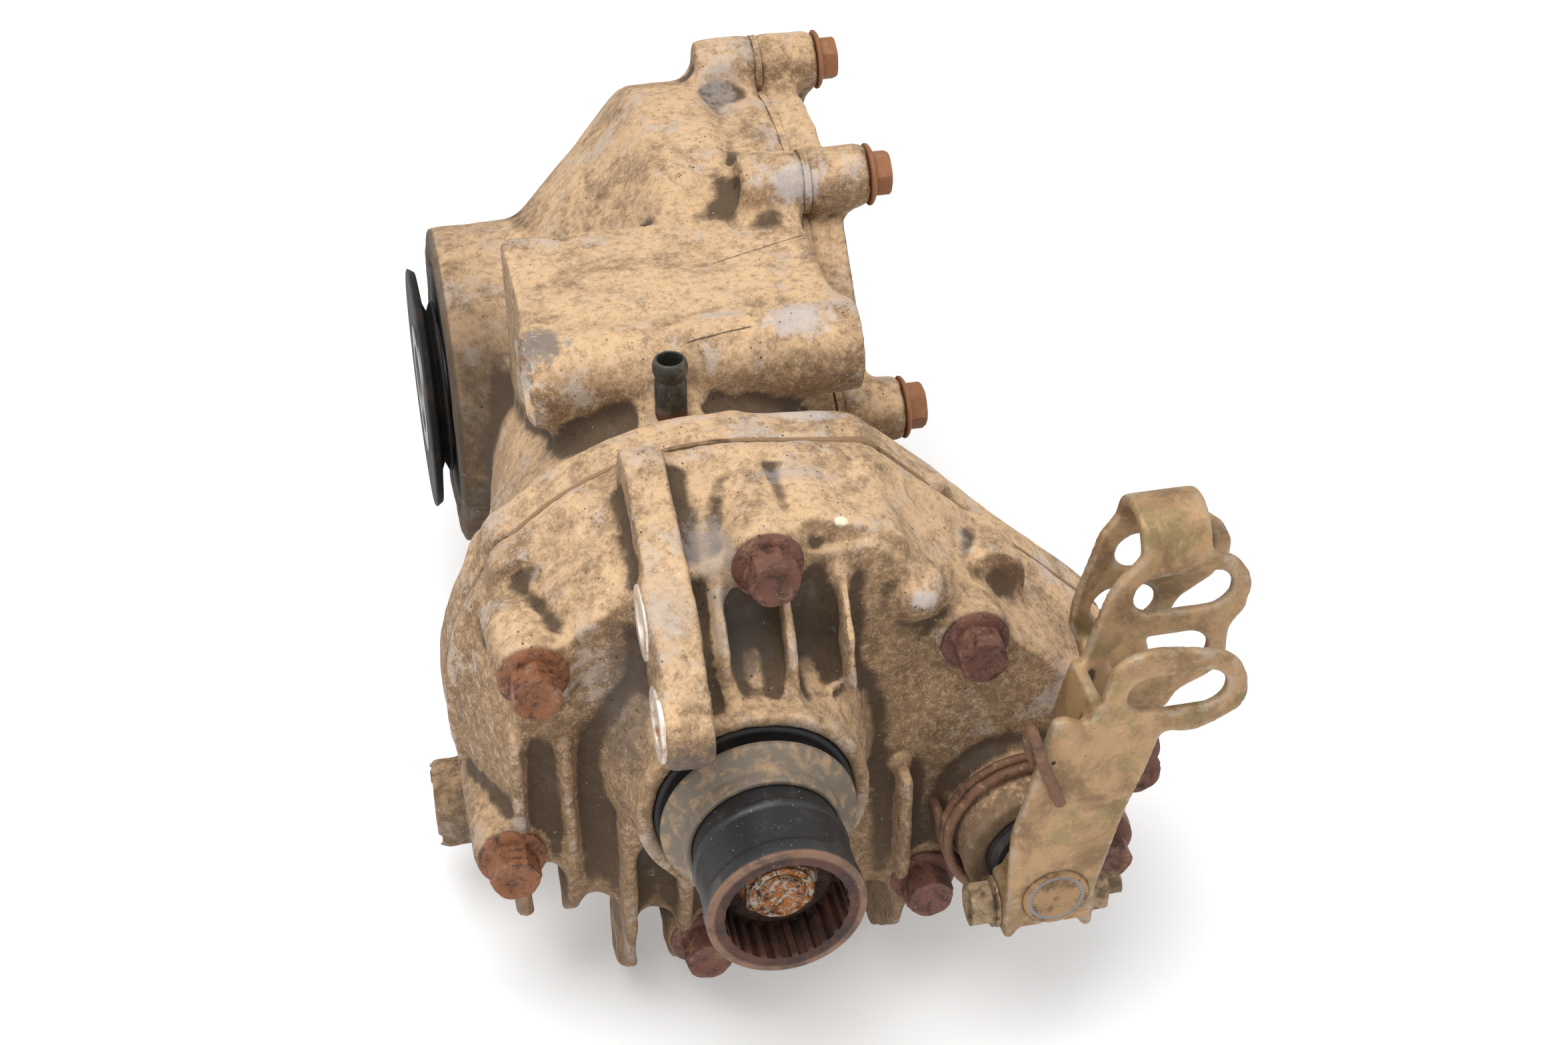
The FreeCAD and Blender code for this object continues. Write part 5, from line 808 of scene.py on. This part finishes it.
def hexagon_shape(flat, chamfer_low, chamfer_high, low, high):
    """Changes a round profile to a hexagon between LOW and HIGH: radius = least of
    flat / cos(angle from the nearest flat's middle) and a cone at both chamfers."""
    def shape(along, radius, angle):
        turn = (angle + math.pi / 6) % (math.pi / 3) - math.pi / 6
        six = flat / np.cos(turn)
        cone = np.minimum(chamfer_low + (along - low) * 1.2, chamfer_high + (high - along) * 1.2)
        inside = (along > low - 1e-6) & (along < high + 1e-6) & (radius > flat * 0.9)
        return along, np.where(inside, np.minimum(six, cone), radius)
    return shape


def bolt_surface(axis, centre, seat, way, flat=6.0, flange=9.2, height=8.0, shank=4.0,
                 tip=-30.0, turn=0.0):
    """Flange bolt: shank, flange disc, hexagon head with chamfered corners and a dished top.
    The head stands on the seat's side that WAY, 1 or -1, gives; TIP is the shank's end."""
    corner = flat / math.cos(math.pi / 6)
    top = 1.8 + height
    body = [
        (tip, 0.0), (tip, shank), (0.0, shank), (0.0, flange - 0.3), (0.25, flange),
        (0.9, flange - 0.1), (1.5, flange - 0.9), (1.85, corner + 0.3), (1.95, corner),
    ]
    side = [(level, corner) for level in np.linspace(2.4, top - 0.05, 9)]
    dish = [
        (top, flat * 0.86), (top - 0.15, flat * 0.74), (top - 0.75, flat * 0.62),
        (top - 0.95, flat * 0.4), (top - 0.9, 0.0),
    ]
    hexagon = hexagon_shape(flat, corner - 0.2, corner - 0.75, 1.9, top)

    def shape(along, radius, angle):
        along, radius = hexagon(along, radius, angle + turn)
        return way * along + seat, radius
    return turned(axis, centre, body + side + dish, 60, False, shape)


class FINAL_OT_castings(bpy.types.Operator):
    """Grow the cast skins of the gear case, brake cover and ring gear cover"""

    bl_idname = "final.castings"
    bl_label = "Castings"

    def execute(self, context):
        look = context.scene.casting_settings
        make_finishes(context.scene)
        # Swellings beside the bolts and a mound, which the solids leave out.
        case_relief = [
            lump((59.5, -149.5, 46.5), (7, 4.5, 6)), stub("Y", (-48.5, 42), 11, -151, -139),
        ]
        cover_relief = [
            stub("Y", (71.5, 29), 11, -172, -153), stub("Y", (-48.5, 42), 11, -164, -153),
            lump((48, -185.5, 42), (7.5, 8, 7.5)),
        ]
        coarse, fine = 1.3, 0.85
        skins = (
            ("gear_case_skin", "gear_case", look.voxel * coarse, look.fillet * coarse,
             case_relief),
            ("brake_cover_skin", "brake_cover", look.voxel * fine, look.fillet, cover_relief),
            ("ring_gear_cover_skin", "ring_gear_cover", look.voxel * coarse, look.fillet, ()),
        )
        for name, node, voxel, fillet, relief in skins:
            grown_skin(name, node, "housing", "casting", voxel, fillet,
                       look.sand, extra=relief)
        thickened("brake_cover_gasket_dressed", "brake_cover_gasket", (1, 2.2, 1), "gasket")
        thickened("ring_cover_gasket_dressed", "ring_cover_gasket", (3.2, 1, 1), "casting")
        return {"FINISHED"}


class FINAL_OT_bolts(bpy.types.Operator):
    """Make the flange bolts of both covers and the lever's clamp bolt and nut"""

    bl_idname = "final.bolts"
    bl_label = "Bolts"

    def execute(self, context):
        turns = [0.35, 0.1, 0.8, 0.5, 0.2, 0.7, 0.05, 0.6]
        front = [bolt_surface("Y", place, COVER_BOLT_SEAT, -1, tip=-50, turn=turn)
                 for place, turn in zip(COVER_BOLTS, turns)]
        joined("cover_bolts_dressed", front, "housing", "bolt",
               ["brake_cover_bolts"])
        right = []
        for index, turn in enumerate(turns):
            angle = math.radians(RING_BOLT_FIRST_ANGLE + 45 * index)
            place = (RING_BOLT_RADIUS * math.cos(angle), RING_BOLT_RADIUS * math.sin(angle))
            right.append(bolt_surface("X", place, RING_BOLT_SEAT, 1, height=5.0, tip=-33,
                                      turn=turn))
        joined("ring_bolts_dressed", right, "housing", "orange_bolt",
               ["ring_cover_bolts"])
        ring = rounded(from_seat(LUG_LEFT, -1, [
            (-3, 6.05), (-3, 9.6), (0.3, 9.6), (0.5, 9.2), (0.5, 6.4), (0.3, 6.05)]), 0.3)
        joined("lug_hole_faces", [turned("X", hole, ring, 64) for hole in LUG_HOLES],
               "housing", "machined")
        clamp = bolt_surface("X", CLAMP, CLAMP_LEFT, -1, flat=5.6, flange=7.0, height=5.8,
                             shank=3.0, tip=-34.5, turn=0.3)
        joined("clamp_bolt_dressed", [clamp], "lever_train", "zinc_plain",
               ["lever_clamp_bolt"])
        nut = turned("X", CLAMP, from_seat(CLAMP_RIGHT, 1, [
            (0, 3.06), (0, 7.0), (0.9, 6.9), (1.3, 6.6), (1.6, 6.6), (2.4, 6.6), (3.4, 6.6),
            (4.4, 6.6), (5.2, 6.6), (5.5, 5.2), (5.5, 3.06)]), 60, True,
            hexagon_shape(5.7, 6.5, 5.9, CLAMP_RIGHT + 1.25, CLAMP_RIGHT + 5.45))
        joined("clamp_nut_dressed", [nut], "lever_train", "zinc_plain",
               ["lever_clamp_nut"])
        return {"FINISHED"}


class FINAL_OT_input(bpy.types.Operator):
    """Make the splined coupling, its nut, the dust shield and the oil seal"""

    bl_idname = "final.input"
    bl_label = "Input coupling"

    def execute(self, context):
        def grooves(along, radius, angle):
            """The bore's radius grows by 1.6 inside each of 24 grooves."""
            deep = np.clip((np.cos(24 * angle) + 0.15) / 0.25, 0, 1)
            inner = (radius < 15.5) & (radius > 12) & (along < COUPLING_NUT_SEAT + 0.1)
            return along, radius + np.where(inner, 1.6 * deep, 0)

        rim, seat = MOUTH_RADIUS, COUPLING_NUT_SEAT
        outer = rounded(from_seat(MOUTH, 1, [
            (0, 15.2), (0, rim), (5, rim), (5.5, rim - 0.5), (17, rim - 0.5), (18, rim),
            (19.5, rim), (20.5, rim - 1.2), (34, rim - 1.2), (34, 14), (47, 14), (47, 10.05),
            (13, 10.05), (13, 15.2)]), 0.7)
        joined("coupling_dressed", [turned("Y", (0, 0), outer, 240, True, grooves)],
               "input_train", "coupling", ["input_coupling"])
        nut = turned("Y", (0, 0), from_seat(seat, -1, [
            (0, 6.05), (0, 14.6), (0.9, 14.6), (1.8, 13.6), (2.1, 9.8), (2.6, 9.8), (3.2, 9.8),
            (3.9, 9.8), (4.5, 9.8), (5.0, 9.8), (5.2, 8.6), (5.4, 8.2), (6.2, 8.0), (6.4, 7.2),
            (6.0, 6.05)]), 60, True, hexagon_shape(8.5, 9.2, 9.75, seat - 5.15, seat - 2.0))
        joined("coupling_nut_dressed", [nut], "input_train", "nut",
               ["coupling_nut"])
        shield = rounded([
            (-225, 18.85), (-225, 20.4), (-221, 20.8), (-217, 25.4), (-215.4, 25.4),
            (-219, 20.8), (-219, 18.85)], 0.6)
        joined("dust_shield_dressed", [turned("Y", (0, 0), shield, 128)], "input_train",
               "shield", ["dust_shield"])
        seal = rounded([
            (-211.2, 15.8), (-211.2, 23.5), (-211.8, 25), (-211.2, 26), (-204, 26), (-204, 23),
            (-206, 17), (-205, 14.06), (-208, 14.06)], 0.5)
        joined("input_seal_dressed", [turned("Y", (0, 0), seal, 128)], "housing",
               "rubber", ["input_oil_seal"])
        return {"FINISHED"}


class FINAL_OT_axle_seals(bpy.types.Operator):
    """Make the flared rubber seals at both ends of the axle hub"""

    bl_idname = "final.axle_seals"
    bl_label = "Axle seals"

    def execute(self, context):
        for side, root, end, rim in (("left", -57.3, -64.5, 38), ("right", 66.3, 70.5, 32)):
            span = end - root
            profile = rounded([
                (root, 20.05), (root, 27.05), (root + span * 0.16, 27.05),
                (root + span * 0.33, 24.05), (root + span * 0.5, 27.05),
                (end - span * 0.37, rim - 1.4), (end - span * 0.07, rim), (end, rim - 1),
                (end - span * 0.15, 23.05), (end - span * 0.15, 20.05)], 0.4)
            joined(f"{side}_dust_seal_dressed", [turned("X", (0, 0), profile, 144)],
                   "axle_train", "rubber", [f"{side}_dust_seal"])
        return {"FINISHED"}


class FINAL_OT_lever(bpy.types.Operator):
    """Make the pressed brake lever and the serrated end of its shaft"""

    bl_idname = "final.lever"
    bl_label = "Brake lever"

    def execute(self, context):
        grown_skin("brake_lever_skin", "brake_lever", "lever_train", "zinc",
                   voxel=0.0008, fillet=0.0006, sand=0.00005, relax=5)

        def serrations(along, radius, angle):
            """40 teeth cut into the rim of the shaft's end."""
            notch = np.clip(0.5 + 0.9 * np.cos(40 * angle), 0, 1)
            rim = (radius > 6.6) & (radius < 7.5)
            return along + np.where(rim, 0.7 * (1 - notch), 0), radius

        end = turned("Y", CAM, from_seat(CAM_END, -1, [
            (0, 0), (0, 8.9), (0.75, 8.9), (1.2, 8.6), (1.25, 7.6), (0.7, 7.45), (0.75, 7.2),
            (1.1, 7.1), (1.3, 6.7), (1.55, 6.2), (1.55, 1.2), (0.9, 0.6), (0.7, 0)]),
            320, False, serrations)
        joined("cam_shaft_end", [end], "lever_train", "shaft_end")
        return {"FINISHED"}


class FINAL_OT_spring(bpy.types.Operator):
    """Wind the return spring round the cam shaft boss"""

    bl_idname = "final.spring"
    bl_label = "Return spring"

    def execute(self, context):
        turns, pitch, radius, front, hook_angle = 2.6, 3.6, 22.3, -204.0, 40.0
        t = np.linspace(0, 1, 260)
        angle = np.radians(hook_angle - 360 * turns * t)
        coil = np.stack([CAM[0] + radius * np.cos(angle), front + pitch * turns * t,
                         CAM[1] + radius * np.sin(angle)], axis=1)
        # Up the lever's front, over its edge and back down behind it to the coil.
        hook = smooth_line([
            (75.2, -229.3, 2.3), (72.5, -229.5, 9.3), (69.2, -229.7, 18.0), (67.4, -229.7, 24.6),
            (66.5, -228.2, 27.2), (66.6, -226.0, 23.8), (68.0, -223.6, 17.0),
            (70.8, -221.8, 10.5), (77.0, -216.5, 3.0), (88.0, -208.0, -9.0), tuple(coil[0])], 10)
        # The other end bends away along Y.
        end = coil[-1]
        ahead = coil[-1] - coil[-2]
        ahead /= np.linalg.norm(ahead)
        tail = smooth_line([tuple(end), tuple(end + ahead * 3.2),
                            tuple(end + ahead * 4.5 + np.array([0, 2.0, 0])),
                            tuple(end + ahead * 4.5 + np.array([0, 8.0, 0]))], 8)
        path = np.concatenate([hook[:-1], coil, tail[1:]])
        spring = joined("return_spring_wound", [wire(path, 1.5)], None,
                        "spring", ["return_spring"])
        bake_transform(spring)
        return {"FINISHED"}


class FINAL_OT_vent(bpy.types.Operator):
    """Make the vent pipe with its rolled lip"""

    bl_idname = "final.vent"
    bl_label = "Vent pipe"

    def execute(self, context):
        profile = rounded([
            (53.5, 3.4), (53.5, 3.9), (62.5, 3.9), (62.5, 4.3), (73.4, 4.3), (74.4, 4.05),
            (75.2, 4.3), (76.4, 4.75), (78.2, 4.75), (79.4, 4.45), (80, 4.0), (80, 3.4)], 0.35)
        joined("vent_pipe_dressed", [turned("Z", VENT, profile, 72)], "housing",
               "vent", ["vent_pipe"])
        return {"FINISHED"}


NODE_FINISHES = {
    "bolt": ["brake_drain_plug"],
    "zinc_plain": ["gear_drain_plug"],
    "coupling": ["oil_filler_plug", "brake_hub_circlip"],
    "rubber": ["filler_o_ring", "pinion_oil_seal", "left_axle_seal", "right_axle_seal",
               "cam_shaft_seal"],
    "nut": ["pinion_shaft"],
    "gear": ["ring_gear", "axle_hub", "ring_gear_bolts", "pinion_shim",
             "pinion_bearing_ring_nut", "brake_hub", "steel_plates", "cam_ring",
             "pressure_plate", "brake_cam_shaft"],
    "bearing": ["dowel_pins", "cam_balls"],
    "lining": ["friction_discs"],
}


class FINAL_OT_inside(bpy.types.Operator):
    """Give the inner pieces and plugs their finishes"""

    bl_idname = "final.inside"
    bl_label = "Inner pieces"

    def execute(self, context):
        for finish, nodes in NODE_FINISHES.items():
            for node in nodes:
                dress(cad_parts[node], finish)
        for bearing in ("front_bearing", "pinion_bearing", "left_axle_bearing",
                        "right_axle_bearing"):
            for part in ("outer_race", "inner_race", "balls"):
                dress(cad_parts[f"{bearing}_{part}"], "bearing")
            dress(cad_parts[f"{bearing}_cage"], "brass")
        return {"FINISHED"}


class FINAL_OT_stage(bpy.types.Operator):
    """Set up the floor, lights, background and camera"""

    bl_idname = "final.stage"
    bl_label = "Stage"

    def execute(self, context):
        look = context.scene.stage_settings
        scene = context.scene
        camera = bpy.data.objects.new("camera", bpy.data.cameras.new("camera"))
        scene.collection.objects.link(camera)
        camera.data.lens = look.lens
        camera.data.sensor_width = 36
        camera.data.clip_start = 0.01
        camera.location = CAMERA_PLACE
        camera.rotation_euler = Vector(CAMERA_AIM).to_track_quat("-Z", "Y").to_euler()
        scene.camera = camera
        scene.view_settings.view_transform = "Standard"
        # Name, place and size in metres, power.
        lamps = (
            ("key", (-0.25, -0.35, 1.1), (0.9, 0.9), look.key_power),
            ("side", (1.0, -0.5, 0.7), (0.7, 0.7), look.key_power * 0.2),
            ("front", (-0.6, -1.2, 0.35), (0.8, 0.6), look.key_power * 0.2),
        )
        for name, place, size, power in lamps:
            lamp = bpy.data.objects.new(name, bpy.data.lights.new(name, "AREA"))
            lamp.data.shape = "RECTANGLE"
            lamp.data.size, lamp.data.size_y = size
            lamp.data.energy = power
            lamp.location = place
            lamp.rotation_euler = (Vector((0, -0.1, 0)) - Vector(place)).to_track_quat(
                "-Z", "Y").to_euler()
            scene.collection.objects.link(lamp)
        # White to the camera and in reflections, dimmer as a light.
        world = bpy.data.worlds.new("studio")
        world.use_nodes = True
        tree = world.node_tree
        background = tree.nodes["Background"]
        background.inputs["Color"].default_value = (1, 1, 1, 1)
        rays = tree.nodes.new("ShaderNodeLightPath")
        seen = tree.nodes.new("ShaderNodeMath")
        seen.operation = "MAXIMUM"
        tree.links.new(rays.outputs["Is Camera Ray"], seen.inputs[0])
        tree.links.new(rays.outputs["Is Glossy Ray"], seen.inputs[1])
        level = tree.nodes.new("ShaderNodeMapRange")
        tree.links.new(seen.outputs[0], level.inputs["Value"])
        level.inputs["To Min"].default_value = 0.45
        level.inputs["To Max"].default_value = 1.0
        tree.links.new(level.outputs["Result"], background.inputs["Strength"])
        scene.world = world
        half = 6.0
        mesh = bpy.data.meshes.new("floor")
        mesh.from_pydata([(half * x, half * y, look.floor_level)
                          for x, y in ((-1, -1), (1, -1), (1, 1), (-1, 1))], [], [(0, 1, 2, 3)])
        floor = bpy.data.objects.new("floor", mesh)
        scene.collection.objects.link(floor)
        material = bpy.data.materials.new("floor_white")
        material.use_nodes = True
        shader = material.node_tree.nodes["Principled BSDF"]
        shader.inputs["Base Color"].default_value = (0.9, 0.9, 0.9, 1)
        shader.inputs["Roughness"].default_value = 0.9
        shader.inputs["Emission Color"].default_value = (1, 1, 1, 1)
        shader.inputs["Emission Strength"].default_value = 0.25
        mesh.materials.append(material)
        return {"FINISHED"}


class FINAL_PT_panel(bpy.types.Panel):
    """Buttons for each step."""

    bl_idname = "FINAL_PT_panel"
    bl_label = "Final drive"
    bl_space_type = "VIEW_3D"
    bl_region_type = "UI"
    bl_category = "Final drive"

    def draw(self, context):
        for step in STEPS:
            self.layout.operator(step.bl_idname)


STEPS = (FINAL_OT_castings, FINAL_OT_bolts, FINAL_OT_input, FINAL_OT_axle_seals, FINAL_OT_lever,
         FINAL_OT_spring, FINAL_OT_vent, FINAL_OT_inside, FINAL_OT_stage)
SETTINGS = (("casting_settings", CastingSettings), ("metal_settings", MetalSettings),
            ("stage_settings", StageSettings))


def register():
    for name, group in SETTINGS:
        bpy.utils.register_class(group)
        setattr(bpy.types.Scene, name, bpy.props.PointerProperty(type=group))
    for step in STEPS:
        bpy.utils.register_class(step)
    bpy.utils.register_class(FINAL_PT_panel)


def unregister():
    bpy.utils.unregister_class(FINAL_PT_panel)
    for step in reversed(STEPS):
        bpy.utils.unregister_class(step)
    for name, group in reversed(SETTINGS):
        delattr(bpy.types.Scene, name)
        bpy.utils.unregister_class(group)


def main():
    """Runs every step in order."""
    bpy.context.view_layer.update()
    register()
    bpy.ops.final.castings()
    bpy.ops.final.bolts()
    bpy.ops.final.input()
    bpy.ops.final.axle_seals()
    bpy.ops.final.lever()
    bpy.ops.final.spring()
    bpy.ops.final.vent()
    bpy.ops.final.inside()
    bpy.ops.final.stage()


if __name__ == "__main__":
    main()
